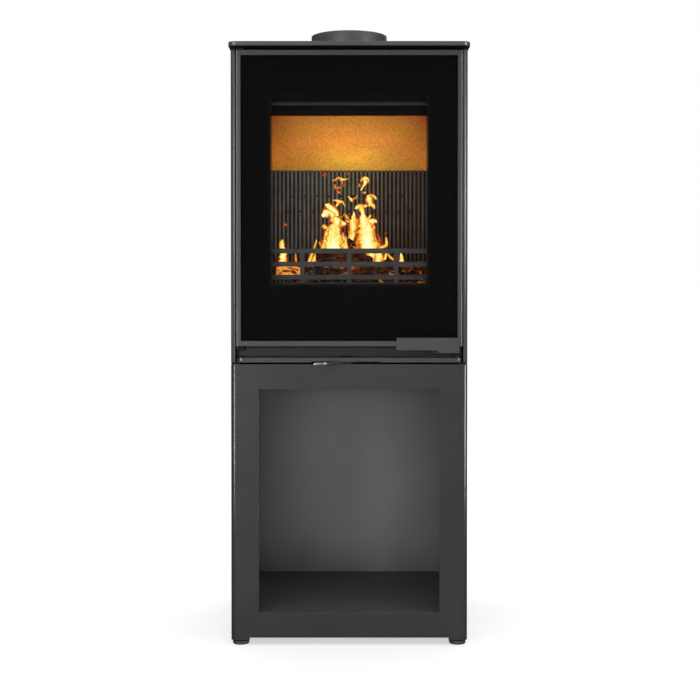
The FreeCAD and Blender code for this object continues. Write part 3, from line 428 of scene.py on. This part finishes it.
def burnt_wood(name, wood, ash, ember, lit=0.0):
    """Split log in the fire: cracked wood with patches of ash, and embers in its cracks.

    ash, ember and lit are the strength of the ash, of the embers and of a painted firelight glow all over the
    grain.
    """
    finish = Finish(name, Specular_IOR_Level=SOOTY_SHINE)
    grain = finish.noise(5.0, 4.0, finish.stretch((0.25, 1.0, 1.0)), 0.6)
    cracks = finish.cells(9.0, "DISTANCE_TO_EDGE", place=finish.stretch((0.5, 1.0, 1.0)))
    spots = finish.noise(16.0, 3.0)
    base = finish.ramp(grain, [(0.36, tinted(wood, 0.12)), (0.52, wood), (0.7, tinted(wood, 1.5))])
    ashen = finish.maths("MULTIPLY", finish.fit(spots, 0.54, 0.66), ash)
    base = finish.mix(ashen, base, (0.42, 0.38, 0.34))
    finish.feed("Base Color", base)
    finish.feed("Roughness", finish.fit(grain, 0.3, 0.7, 0.8, 0.95))
    open_crack = finish.fit(cracks, 0.0, 0.07, 1.0, 0.0)
    hot = finish.fit(finish.noise(15.0, 2.0), 0.54, 0.66)
    glow = finish.maths("MULTIPLY", finish.maths("MULTIPLY", open_crack, hot), ember)
    # painted firelight: a glow over the grain, for wood lit by the flames
    if lit:
        shine = finish.maths("MULTIPLY", finish.fit(grain, 0.38, 0.62), lit)
        glow = finish.maths("MAXIMUM", glow, shine)
    finish.feed("Emission Color", finish.ramp(glow, [(0.0, (1.0, 0.10, 0.01)), (1.0, (1.0, 0.48, 0.07))]))
    finish.feed("Emission Strength", glow)
    finish.feed("Normal", finish.bump(finish.maths("ADD", grain, finish.fit(cracks, 0.0, 0.2)), 1.6, 0.8))
    return finish.material


def ember_bed():
    """Ash with live embers showing through."""
    finish = Finish("ash_and_embers")
    lumps = finish.noise(9.0, 4.0)
    finish.feed("Base Color", finish.ramp(lumps, [
        (0.35, (0.02, 0.018, 0.016)), (0.55, (0.2, 0.17, 0.14)), (0.7, (0.5, 0.44, 0.38))]))
    finish.feed("Roughness", finish.fit(lumps, 0.3, 0.7, 0.85, 0.98))
    glow = finish.fit(finish.noise(20.0, 3.0), 0.5, 0.66, 0.0, 1.3)
    finish.feed("Emission Color", finish.ramp(glow, [(0.0, (0.8, 0.05, 0.0)), (1.0, (1.0, 0.38, 0.05))]))
    finish.feed("Emission Strength", glow)
    finish.feed("Normal", finish.bump(lumps, 2.0, 0.8))
    return finish.material


def flame():
    """Fire: white-yellow where the warmth attribute is high, orange and thin towards the edges."""
    finish = Finish("flame", Roughness=1.0, Specular_IOR_Level=0.0)
    licks = finish.noise(9.0, 2.0, finish.stretch((1.0, 1.0, 0.35)), 0.8)
    flicker = finish.fit(licks, 0.3, 0.7, -0.30, 0.12)
    heat = finish.maths("ADD", finish.attribute("warmth"), flicker)
    colour = finish.ramp(heat, [
        (0.0, (0.75, 0.03, 0.0)), (0.22, (1.0, 0.13, 0.01)), (0.42, (1.0, 0.40, 0.03)),
        (0.62, (1.0, 0.72, 0.11)), (0.82, (1.0, 0.89, 0.29)), (1.0, (1.0, 0.96, 0.60))])
    finish.feed("Base Color", finish.ramp(heat, [(0.0, 0.0), (1.0, 0.01)]))
    finish.feed("Emission Color", colour)
    finish.feed("Emission Strength", finish.fit(heat, 0.0, 0.9, 0.55, 1.15))
    finish.feed("Alpha", finish.fit(heat, 0.02, 0.34, smooth=True))
    return finish.material


ANTHRACITE = (0.052, 0.052, 0.053)
# painted shade: the pedestal's paint is darker than the stove's anthracite, for the base getting less of the
# light from above
PEDESTAL = (0.0255, 0.0255, 0.0262)

FINISHES = {
    "anthracite_paint": paint("anthracite_paint_finish", ANTHRACITE, 0.32),
    "black_paint": paint("black_paint_finish", (0.030, 0.030, 0.031), 0.60, 0.08),
    "cast_iron": cast_iron("cast_iron_finish", (0.10, 0.10, 0.105)),
    "vermiculite": vermiculite(),
    "zinc_steel": metal("zinc_finish", (0.62, 0.63, 0.64), 0.34),
    "stainless": metal("turned_steel", (0.55, 0.545, 0.535), 0.45, math.radians(45.0)),
    "glass": clear_glass(),
    "seal_rope": woven("rope_finish", grey(0.05)),
}

# painted shade: small parts in the stove's dark gaps are painted near black, so they read as the shade of the
# gaps
GAP_SHADE_BLACK = paint("gap_shade_black", grey(0.009), 0.75, shine=0.08)

OWN_FINISHES = {
    "hinge_brackets": GAP_SHADE_BLACK,
    "hinge_pins": GAP_SHADE_BLACK,
    "hinge_washer": GAP_SHADE_BLACK,
    "latch_pin": GAP_SHADE_BLACK,
    "air_pivot": GAP_SHADE_BLACK,
    "body_spacers": GAP_SHADE_BLACK,
    "base_floor_screws": paint("screw_paint", grey(0.05), 0.6),
    "back_lining": sooty_ribs_with_groove_shade(),
    "base_shell": paint("pedestal_paint", PEDESTAL, 0.30, shine=0.45),
    # painted light and painted shade: the log store's back is a much lighter grey than the pedestal, for the
    # light that falls into the store, and darkens towards the floor, where less light reaches
    "base_back": paint("log_store_back", grey(0.104), 0.5, painted_low_shade=(70.0, 190.0, 0.52)),
    "base_floor": paint("log_store_floor", grey(0.050), 0.55),
    # painted shade: a darker copy of the anthracite paint for the ledge, which gets less light low on the
    # stove
    "bottom_tray": paint("ledge_paint", tinted(ANTHRACITE, 0.72), 0.32),
    "door_frame": paint("door_paint", tinted(ANTHRACITE, 0.86), 0.30),
    "flue_collar": paint("collar_paint", tinted(ANTHRACITE, 0.95), 0.50),
    # painted shade: the recessed strip is painted much darker, for the shade in its recess beneath the door
    # and handle
    "front_strip": paint("strip_paint", (0.0155, 0.0155, 0.016), 0.4, shine=0.2),
    "log_guard": cast_iron("guard_iron", (0.040, 0.0405, 0.041)),
    "air_wash_deflector": sooty_plate_with_painted_shade(-141.0, (0.034, 0.034, 0.035)),
    # painted shade: the top plate's downward faces are darkened to a fifth, for the shadow beneath its
    # overhang
    "top_plate": paint("top_plate_paint", ANTHRACITE, 0.34, under=0.2),
    # painted shade: a darker copy of the anthracite paint for the handle, which gets less light low on the
    # door
    "handle_plate": paint("handle_paint", tinted(ANTHRACITE, 0.74), 0.34),
}

SOFT_EDGE = 0.5            # rounding of sheet and machined edges
WELD_GAP = 0.005
SHARP_NODES = {"door_glass", "back_lining", "door_frame"}


def finish_cad():
    """Give every CAD node its finish, and round the edges of all but the sharp nodes."""
    for part in frame["record"]["subparts"]:
        name = part["node"]
        obj = NODES[name]
        obj.data.materials.clear()
        obj.data.materials.append(OWN_FINISHES.get(name) or FINISHES[part["material_slot"]])
        if name in SHARP_NODES:
            continue
        weld = obj.modifiers.new("weld", "WELD")
        weld.merge_threshold = mm(WELD_GAP)
        bevel = obj.modifiers.new("soft_edge", "BEVEL")
        bevel.width = mm(SOFT_EDGE)
        bevel.segments = 2
        bevel.limit_method = "ANGLE"
        bevel.angle_limit = math.radians(40.0)
        bevel.harden_normals = True
    NODES["door_glass"].visible_shadow = False


# ---- door: printed border -----------------------------------------------------------
PRINT_GAP = 0.05           # between the glass's rear face and the print
PRINT_THICKNESS = 0.20
PRINT_MARGIN = 0.2         # bare glass left outside the print


def frame_ring(outer, inner, depths):
    """Vertices and faces of a thin flat frame; outer and inner are (half, z0, z1) in mm."""
    verts = []
    for depth in depths:
        for half, low, high in (outer, inner):
            corners = ((-half, low), (half, low), (half, high), (-half, high))
            verts += [mm(x, depth, z) for x, z in corners]
    faces = []
    for j in range(4):
        n = (j + 1) % 4
        faces.append((j, n, 4 + n, 4 + j))
        faces.append((8 + n, 8 + j, 12 + j, 12 + n))
        faces.append((8 + j, 8 + n, n, j))
        faces.append((12 + n, 12 + j, 4 + j, 4 + n))
    return verts, faces


def glass_print():
    """The printed border lies just inside the rear face of the glass."""
    low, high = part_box("door_glass")
    rear = to_mm(high.y) - PRINT_GAP
    outer = (to_mm(high.x) - PRINT_MARGIN, to_mm(low.z) + PRINT_MARGIN, to_mm(high.z) - PRINT_MARGIN)
    inner = (PRINT_HALF - PRINT_FADE, PRINT_Z[0] + PRINT_FADE, PRINT_Z[1] - PRINT_FADE)
    verts, faces = frame_ring(outer, inner, (rear - PRINT_THICKNESS, rear))
    obj = add_object("glass_print", verts, faces, black_print(), "door", smooth=False)


# ---- fire: logs, ash and flames -----------------------------------------------------
SPLIT_FACES = ((0.66, 0.0), (0.72, 1.9))   # share of the radius each is cut at, and its turn in radians
LOG_TURN = 1.7                             # each log is turned by this much per seed
END_SWELL = 1.5                            # a log's end stands out this far at its middle


def split_log(name, start, end, radius, seed, material):
    """Log between two points in mm: a rounded bark side and two split faces, roughened along the grain."""
    around, along = 30, 26
    a, b = Vector(start), Vector(end)
    axis = (b - a).normalized()
    side = axis.cross(Vector((0, 0, 1))).normalized()
    up = side.cross(axis)
    turn = LOG_TURN * seed
    verts = []
    for k in range(along + 1):
        t = k / along
        centre = a.lerp(b, t) + 0.06 * radius * noise.noise_vector(Vector((t * 2.0, seed, 0)))
        for j in range(around):
            angle = 2.0 * math.pi * j / around
            across, rise = math.cos(angle), math.sin(angle)
            cuts = [share / max(math.cos(angle - turn - swing), 0.01) for share, swing in SPLIT_FACES]
            rough = noise.fractal(Vector((t * 3.0, 2.6 * across + seed, 2.6 * rise)), 0.8, 2.1, 5)
            chunk = noise.noise(Vector((t * 14.0, 3.0 * across, 3.0 * rise + seed)))
            r = radius * (min(1.0, *cuts) + 0.11 * rough + 0.05 * chunk)
            verts.append(mm(*(centre + side * r * across + up * r * rise)))
    faces = ring_faces(along + 1, around)
    for k, way in ((0, -1), (along, 1)):
        middle = sum((verts[k * around + j] for j in range(around)), Vector()) / around
        verts.append(middle + axis * way * mm(END_SWELL))
        tip = len(verts) - 1
        for j in range(around):
            here, there = k * around + j, k * around + (j + 1) % around
            faces.append((tip, there, here) if way < 0 else (tip, here, there))
    add_object(name, verts, faces, material, "stove")


ASH_HALF = 150.0
ASH_Y = (-126.0, 96.0)
ASH_HEIGHT = 15.0          # of the heap's middle, before its lumps
ASH_LUMPS = 9.0
ASH_RIM = (0.1, 0.3)       # the rim's underside and top, above the hearth


def ash_bed(material):
    """Low heap of ash and embers over the grate."""
    ground = to_mm(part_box("hearth")[1].z)
    columns, rows = 60, 40
    front, back = ASH_Y
    verts = []
    for k in range(rows + 1):
        for j in range(columns + 1):
            u, v = 2.0 * j / columns - 1.0, 2.0 * k / rows - 1.0
            x, y = ASH_HALF * u, 0.5 * (front + back) + 0.5 * (back - front) * v
            edge = (1.0 - u ** 6) * (1.0 - v ** 6)
            lump = noise.fractal(Vector((x, y, 0)) / 22.0, 0.8, 2.1, 4)
            verts.append(mm(x, y, ground + ASH_RIM[1] + edge * (ASH_HEIGHT + ASH_LUMPS * lump)))
    top = len(verts)
    verts += [Vector((v.x, v.y, mm(ground + ASH_RIM[0]))) for v in verts]
    faces = []
    width = columns + 1
    for k in range(rows):
        for j in range(columns):
            a = k * width + j
            faces.append((a, a + 1, a + width + 1, a + width))
            faces.append((top + a, top + a + width, top + a + width + 1, top + a + 1))
    rim = list(range(columns)) + [k * width + columns for k in range(rows)]
    rim += [rows * width + columns - j for j in range(columns)] + [(rows - k) * width for k in range(rows)]
    for j, a in enumerate(rim):
        b = rim[(j + 1) % len(rim)]
        faces.append((a, top + a, top + b, b))
    add_object("ash_bed", verts, faces, material, "stove")


TONGUE_DEPTH = 0.55        # a tongue's thickness as a share of its width
LAYER_STEP = 2.3           # neighbouring tongues lie this far apart in depth
SHEATHS = ((1.22, 1.0, 0.0), (1.7, 0.30, 6.0))   # spread, share of the heat, and distance behind


def tongue(points, depth, heat, spread):
    """One flame tongue as vertices, faces and heats; points are (x, z, half width) in mm along its middle."""
    around = 14
    path = smooth_path(points, 6)
    verts, heats = [], []
    for k, (x, z, width) in enumerate(path):
        ahead, behind = path[min(k + 1, len(path) - 1)], path[max(k - 1, 0)]
        along = Vector((ahead[0] - behind[0], 0, ahead[1] - behind[1])).normalized()
        side = Vector((along.z, 0, -along.x))
        ripple = 1.0 + 0.30 * noise.noise(Vector((x, depth, z)) / 5.0)
        sway = 0.20 * noise.noise(Vector((z, x, depth)) / 7.0)
        centre = Vector((x, depth, z)) + side * width * sway
        for j in range(around):
            angle = 2.0 * math.pi * j / around
            tatter = 1.0 + 0.40 * noise.noise(Vector((x + 9.0 * math.cos(angle), depth, z)) / 3.4)
            reach = spread * width * ripple * tatter
            offset = side * reach * math.cos(angle) + Vector((0, TONGUE_DEPTH * width * math.sin(angle), 0))
            verts.append(mm(*(centre + offset)))
            heats.append(heat * abs(math.sin(angle)) ** 1.3)
    faces = ring_faces(len(path), around)
    last = (len(path) - 1) * around
    faces.append(tuple(range(around - 1, -1, -1)))
    faces.append(tuple(range(last, last + around)))
    return verts, faces, heats


def flames(name, depth, tongues, material):
    """Several tongues as one piece; each tongue is (heat, points), drawn as a core and a fainter sheath."""
    verts, faces, heats = [], [], []
    for k, (heat, points) in enumerate(tongues):
        layer_depth = depth + LAYER_STEP * (k % 4)
        for spread, share, behind in SHEATHS:
            more_verts, more_faces, more_heats = tongue(points, layer_depth + behind, share * heat, spread)
            faces += [tuple(i + len(verts) for i in face) for face in more_faces]
            verts += more_verts
            heats += more_heats
    obj = add_object(name, verts, faces, material, "stove")
    warmth = obj.data.attributes.new("warmth", "FLOAT", "POINT")
    warmth.data.foreach_set("value", heats)


# Each tongue is its heat and its (x, z, half width) points.
LEFT_FLAME = [
    (1.0, [(-28, 738, 18), (-30, 760, 16), (-30, 776, 12.5), (-28, 791, 9.5), (-26, 801, 8), (-30, 807, 3)]),
    (0.9, [(-50, 742, 6), (-45, 758, 7), (-43, 776, 6), (-35, 791, 3.5)]),
    (1.0, [(-34, 802, 4), (-25, 799.5, 8.5), (-15, 796.5, 6), (-6, 796, 1.2)]),
    (0.9, [(-14, 740, 9), (-12, 760, 5), (-11.5, 769, 3.5), (-12.5, 778, 0.8)]),
    (0.8, [(-7, 740, 6), (-7, 759, 3), (-6, 771, 0.7)]),
    (0.8, [(-53, 791.5, 2.5), (-48, 789, 4.5), (-43, 787, 1.2)]),
    (0.8, [(-47.5, 776, 3), (-41, 779.5, 6), (-34, 782, 3)]),
    (0.95, [(-54, 811, 3), (-46, 816, 7), (-36, 818.5, 9.5), (-27, 816, 7), (-21.5, 812, 1.5)]),
    (0.95, [(-48, 833.5, 1.2), (-42, 830.5, 4.5), (-33, 824, 6), (-24, 817.5, 4)]),
    (0.9, [(-34.5, 817, 7), (-33.5, 808, 5), (-33.5, 799, 4)]),
]
MIDDLE_FLAME = [
    (0.9, [(0, 740, 5), (2, 760, 5), (5, 773, 7), (7.5, 789, 8), (9, 802, 7), (9.5, 810, 4), (9, 820.5, 1)]),
    (0.75, [(7, 799, 4), (-1, 801, 2.5), (-7, 803, 0.7)]),
    (0.75, [(10, 800, 4), (16, 803.5, 2.5), (21, 804.5, 0.7)]),
    (0.85, [(13, 742, 7), (15, 756, 4), (16.5, 766.5, 1.2)]),
]
RIGHT_FLAME = [
    (1.0, [(40, 738, 18), (37, 756, 17), (34, 772, 14.5), (33, 786, 13), (30.5, 799, 10), (28, 808, 5.5),
           (26.5, 818, 4), (23.5, 827, 4.5), (21, 831.5, 1.2)]),
    (0.9, [(11.5, 826, 1.5), (18, 829, 4), (27.5, 830, 4), (36, 832, 1.5)]),
    (1.0, [(37, 791, 7), (43.5, 800.5, 7.5), (50, 802, 5.5), (55, 798.5, 1.2)]),
    (0.85, [(35.5, 800, 5), (39.5, 808, 3.5), (43, 814, 0.7)]),
    (0.9, [(36, 852, 2), (39, 845, 5.5), (40.5, 837, 4.5), (39, 830, 1.5)]),
    (0.8, [(38.5, 850.5, 3), (45.5, 852, 2.8), (52, 848, 2.5), (53, 844, 0.7)]),
    (0.75, [(41.5, 835.5, 3), (47.5, 831.5, 3.2), (50.5, 826, 0.8)]),
    (0.9, [(55, 741, 8), (50, 760, 5.5), (46, 776, 5), (45.5, 789, 5), (43, 798, 3)]),
    (0.75, [(50, 757.5, 3.5), (58.5, 750.5, 3), (67, 750, 2.5), (73.5, 754, 2.8), (74, 764, 2.2),
            (72, 769.5, 0.7)]),
]
LOOSE_FLAMES = [
    (0.8, [(-33, 843.5, 0.8), (-26.5, 844, 2), (-20, 841, 3.2), (-14, 841.5, 2), (-11, 837, 1.4),
           (-8, 831, 0.5)]),
    (0.75, [(-20, 840, 2.5), (-24, 835, 1.8), (-27.5, 830.5, 0.5)]),
    (0.75, [(-3, 852, 0.7), (1, 849, 1.8), (5, 844, 2.6), (6, 841, 0.6)]),
    (0.6, [(7, 846, 1.2), (12.5, 849, 1.7), (16.5, 854, 0.6)]),
    (0.75, [(-34, 883, 0.8), (-28, 884.5, 1.3), (-22, 888.5, 2.2), (-16, 885.5, 3.6), (-9, 885.5, 1.8),
            (-2, 887, 0.9)]),
    (0.6, [(-15.5, 884.5, 2.8), (-14, 880, 1.6), (-13, 876, 0.5)]),
    (0.45, [(-29, 876, 1.4), (-27.5, 869.5, 2.4), (-20, 869.5, 2), (-12.5, 872.5, 1.4), (-9, 877.5, 0.5)]),
    (0.45, [(-24, 864, 0.8), (-21, 860, 2), (-18, 859, 0.6)]),
    (0.8, [(22.5, 882, 1.4), (27.5, 886, 3), (34, 888, 3.2), (38.5, 884, 2), (37, 879, 0.8)]),
    (0.85, [(32, 885, 3), (32, 880, 4.2), (29, 873.5, 2.2), (26, 868, 1.7), (22.5, 864, 0.6)]),
    (0.4, [(20, 877.5, 0.8), (20.5, 874, 2), (21.5, 870.5, 0.6)]),
    (0.6, [(26.5, 861, 0.8), (30.5, 859, 2.1), (34, 861, 0.6)]),
    (0.5, [(-20, 813, 1.2), (-15.5, 810, 1.3), (-9, 816, 1.2), (-4.5, 810, 3), (0.5, 806, 0.8)]),
    (0.6, [(-70.5, 746, 2.2), (-68, 756, 1.6), (-65.5, 762, 1.7), (-67, 765, 0.5)]),
    (0.5, [(-55.5, 750, 1.8), (-58.5, 758, 1.3), (-59.5, 762, 0.5)]),
    (0.25, [(71.5, 775, 0.8), (73.5, 778.5, 2), (76, 781, 0.6)]),
    (0.2, [(-58, 891.5, 1), (-50.5, 895, 2.8), (-42.5, 897, 2), (-31.5, 897.5, 1)]),
    (0.2, [(-9, 896.5, 0.9), (-3, 897.5, 1.8), (3.5, 895.5, 0.5)]),
    (0.3, [(-132, 792, 0.8), (-129, 796, 3), (-125.5, 793, 0.8)]),
]
LOW_FLAMES = [
    (0.9, [(-131, 706, 7), (-130, 724, 6.5), (-129, 738, 4.6), (-131, 750, 4.4), (-131.5, 757, 4),
           (-129.5, 763, 0.7)]),
    (0.5, [(-105, 706, 2), (-104, 724, 2.6), (-106, 738, 1)]),
    (0.8, [(-79, 716, 3), (-75, 728, 3), (-70, 742, 1.6)]),
    (0.8, [(-71, 716, 3), (-67, 728, 3), (-62, 742, 1.6)]),
    (0.75, [(-63, 716, 3), (-60, 728, 2.8), (-56, 742, 1.4)]),
    (0.75, [(-35, 716, 2), (-32.5, 728, 4), (-31, 742, 3)]),
    (0.85, [(38, 712, 6), (42, 726, 8.5), (42, 742, 9)]),
    (0.85, [(54, 712, 6), (57, 726, 8), (56, 742, 8)]),
    (0.7, [(61, 728, 1), (65, 724, 2.6), (70, 727, 2.6), (72, 738, 1.6)]),
    (0.65, [(74, 735, 1.4), (80, 729, 2.6), (86, 723, 2)]),
    (0.85, [(103, 708, 4.6), (102.5, 726, 3.6), (101, 739, 0.8)]),
]


def fire():
    """Logs, ash and flames behind the guard, riding with the stove."""
    charcoal = burnt_wood("charcoal_log", (0.024, 0.020, 0.016), 0.6, 0.3)
    dark_wood = burnt_wood("dark_log", (0.048, 0.022, 0.009), 0.08, 0.35)
    ember_wood = burnt_wood("ember_log", (0.060, 0.027, 0.011), 0.16, 0.9)
    # painted firelight: the log end's light yellow-brown colour and its glow stand in for the flames' light
    # on it
    lit_wood = burnt_wood("lit_log", (0.62, 0.34, 0.09), 0.0, 0.5, 0.85)
    ash_bed(ember_bed())
    split_log("log_front_left", (-88, -98, 685), (0, -86, 689), 25, 3, charcoal)
    split_log("log_front_right", (4, -92, 688), (92, -84, 690), 25, 5, ember_wood)
    split_log("log_left_end", (-139, -70, 700), (-70, -46, 700), 14, 8, lit_wood)
    split_log("log_right_end", (84, -72, 696), (150, -34, 688), 21, 2, ember_wood)
    split_log("log_back", (-110, 34, 684), (118, 46, 686), 28, 11, dark_wood)
    split_log("log_upper_left", (-62, -66, 716), (2, -52, 722), 21, 6, dark_wood)
    split_log("log_upper_right", (0, -60, 722), (40, -48, 716), 19, 9, dark_wood)
    split_log("log_leaning_left", (-40, -12, 714), (8, -16, 760), 11, 4, ember_wood)
    split_log("log_leaning_right", (80, -8, 706), (25, -14, 757), 11, 7, ember_wood)
    fire_material = flame()
    flames("flame_left", -26.0, LEFT_FLAME, fire_material)
    flames("flame_middle", -6.0, MIDDLE_FLAME, fire_material)
    flames("flame_right", -20.0, RIGHT_FLAME, fire_material)
    flames("flame_loose", 4.0, LOOSE_FLAMES, fire_material)
    flames("flame_low", -62.0, LOW_FLAMES, fire_material)


# ---- floor, light and camera --------------------------------------------------------
FLOOR_GLOW = 0.58          # keeps the floor near white right up to the feet
FLOOR_HALF = 120.0         # metres, like FLOOR_Y
FLOOR_Y = (-6.0, 240.0)


def floor():
    """Plain pale floor."""
    finish = Finish("pale_floor", Emission_Strength=FLOOR_GLOW, Specular_IOR_Level=0.0)
    slow = finish.noise(900.0, 2.0)
    finish.feed("Base Color", finish.ramp(slow, [(0.3, 0.40), (0.7, 0.44)]))
    finish.feed("Emission Color", finish.ramp(slow, [(0.3, 0.98), (0.7, 1.0)]))
    finish.feed("Roughness", finish.fit(finish.noise(300.0, 2.0), 0.3, 0.7, 0.75, 0.9))
    front, back = FLOOR_Y
    corners = [(-FLOOR_HALF, front, 0), (FLOOR_HALF, front, 0), (FLOOR_HALF, back, 0), (-FLOOR_HALF, back, 0)]
    mesh = bpy.data.meshes.new("floor")
    mesh.from_pydata(corners, [], [(0, 1, 2, 3)])
    mesh.materials.append(finish.material)
    obj = bpy.data.objects.new("floor", mesh)
    bpy.context.scene.collection.objects.link(obj)
    obj.visible_glossy = False


def lamp(name, kind, power, place, aim=None, colour=(1, 1, 1), **settings):
    """A light at a place in metres, aimed at a point."""
    data = bpy.data.lights.new(name, kind)
    data.energy = power
    data.color = colour
    for label, value in settings.items():
        setattr(data, label, value)
    obj = bpy.data.objects.new(name, data)
    bpy.context.scene.collection.objects.link(obj)
    obj.location = place
    obj.visible_camera = False
    obj.visible_transmission = False
    if aim is not None:
        obj.rotation_euler = (Vector(aim) - Vector(place)).to_track_quat("-Z", "Y").to_euler()
    return obj


SURROUND_LIGHT = 0.03      # what the white surround casts on the stove


def panel(name, power, place, size_x, size_y):
    """A flat rectangular lamp aimed at the middle of the stove's front."""
    middle = (0.0, -0.18, 0.66)
    return lamp(name, "AREA", power, place, middle, shape="RECTANGLE", size=size_x, size_y=size_y)


def studio():
    """Even soft light from above and in front, and a tall strip on each side for the bends to reflect."""
    lamp("sky_soft", "SUN", 3.6, (0, 0, 4), (0, 0.4, 0), angle=math.radians(120.0))
    front = panel("front_soft", 92.0, (-0.1, -4.2, 0.6), 3.0, 1.0)
    store = lamp("store_spot", "SPOT", 70.0, (0.0, -3.0, 0.42), (-0.02, 0.19, 0.29),
                 spot_size=math.radians(7.4), spot_blend=1.0, shadow_soft_size=mm(60))
    for soft in (front, store):
        soft.visible_glossy = False
    strips = [panel("strip_left", 190.0, (-2.1, -3.7, 1.0), 0.6, 2.6),
              panel("strip_right", 250.0, (3.3, -2.7, 1.0), 0.6, 2.6)]
    # the strips would show in the swung door's glass as white bars, so they don't light it
    unlit = bpy.data.collections.new("unlit_by_strips")
    unlit.objects.link(NODES["door_glass"])
    for member in unlit.collection_objects:
        member.light_linking.link_state = "EXCLUDE"
    for strip in strips:
        strip.visible_diffuse = False
        strip.light_linking.receiver_collection = unlit
    panel("rear_soft", 30.0, (0.6, 3.2, 2.2), 2.4, 1.8)


def surround():
    """White to the camera, and nearly dark to the stove."""
    world = bpy.data.worlds.new("surround")
    bpy.context.scene.world = world
    world.use_nodes = True
    tree = world.node_tree
    tree.nodes.clear()
    output = tree.nodes.new("ShaderNodeOutputWorld")
    seen = tree.nodes.new("ShaderNodeBackground")
    seen.inputs["Color"].default_value = (1.0, 1.0, 1.0, 1.0)
    cast = tree.nodes.new("ShaderNodeBackground")
    cast.inputs["Color"].default_value = grey(SURROUND_LIGHT) + (1.0,)
    path = tree.nodes.new("ShaderNodeLightPath")
    choose = tree.nodes.new("ShaderNodeMixShader")
    tree.links.new(path.outputs["Is Camera Ray"], choose.inputs["Fac"])
    tree.links.new(cast.outputs["Background"], choose.inputs[1])
    tree.links.new(seen.outputs["Background"], choose.inputs[2])
    tree.links.new(choose.outputs["Shader"], output.inputs["Surface"])


def firelight():
    """Warm lamps among the flames, which light the board, the linings and the bars."""
    yellow, orange, red = (1.0, 0.84, 0.25), (1.0, 0.36, 0.20), (1.0, 0.25, 0.08)
    lamp("fire_core", "POINT", 0.245, mm(-3, -52, 862), colour=orange, shadow_soft_size=mm(30))
    lamp("fire_top", "POINT", 0.115, mm(6, 36, 872), colour=yellow, shadow_soft_size=mm(20))
    lamp("fire_back_left", "POINT", 0.02, mm(-34, 84, 790), colour=red, shadow_soft_size=mm(12))
    lamp("fire_back_right", "POINT", 0.02, mm(36, 84, 790), colour=red, shadow_soft_size=mm(12))
    lamp("ember_light", "POINT", 0.06, mm(0, -112, 716), colour=red, shadow_soft_size=mm(16))


LENS = 68.66
SENSOR = 36.0
CAMERA_PLACE = (0.0, -2.670, 0.6663)
CAMERA_TILT = 1.0          # degrees below level
CAMERA_SHIFT = (0.00114, -0.0537)


def camera():
    """The camera in front of the stove, tilted a little down."""
    data = bpy.data.cameras.new("camera")
    data.lens = LENS
    data.sensor_width = SENSOR
    data.shift_x, data.shift_y = CAMERA_SHIFT
    obj = bpy.data.objects.new("camera", data)
    bpy.context.scene.collection.objects.link(obj)
    obj.location = CAMERA_PLACE
    obj.rotation_euler = (math.radians(90.0 - CAMERA_TILT), 0.0, 0.0)
    bpy.context.scene.camera = obj


def view_settings():
    """Plain colour handling, and enough see-through layers for overlapping flames."""
    scene = bpy.context.scene
    scene.view_settings.view_transform = "Standard"
    scene.cycles.transparent_max_bounces = 24


finish_cad()
glass_print()
fire()
floor()
studio()
surround()
firelight()
camera()
view_settings()
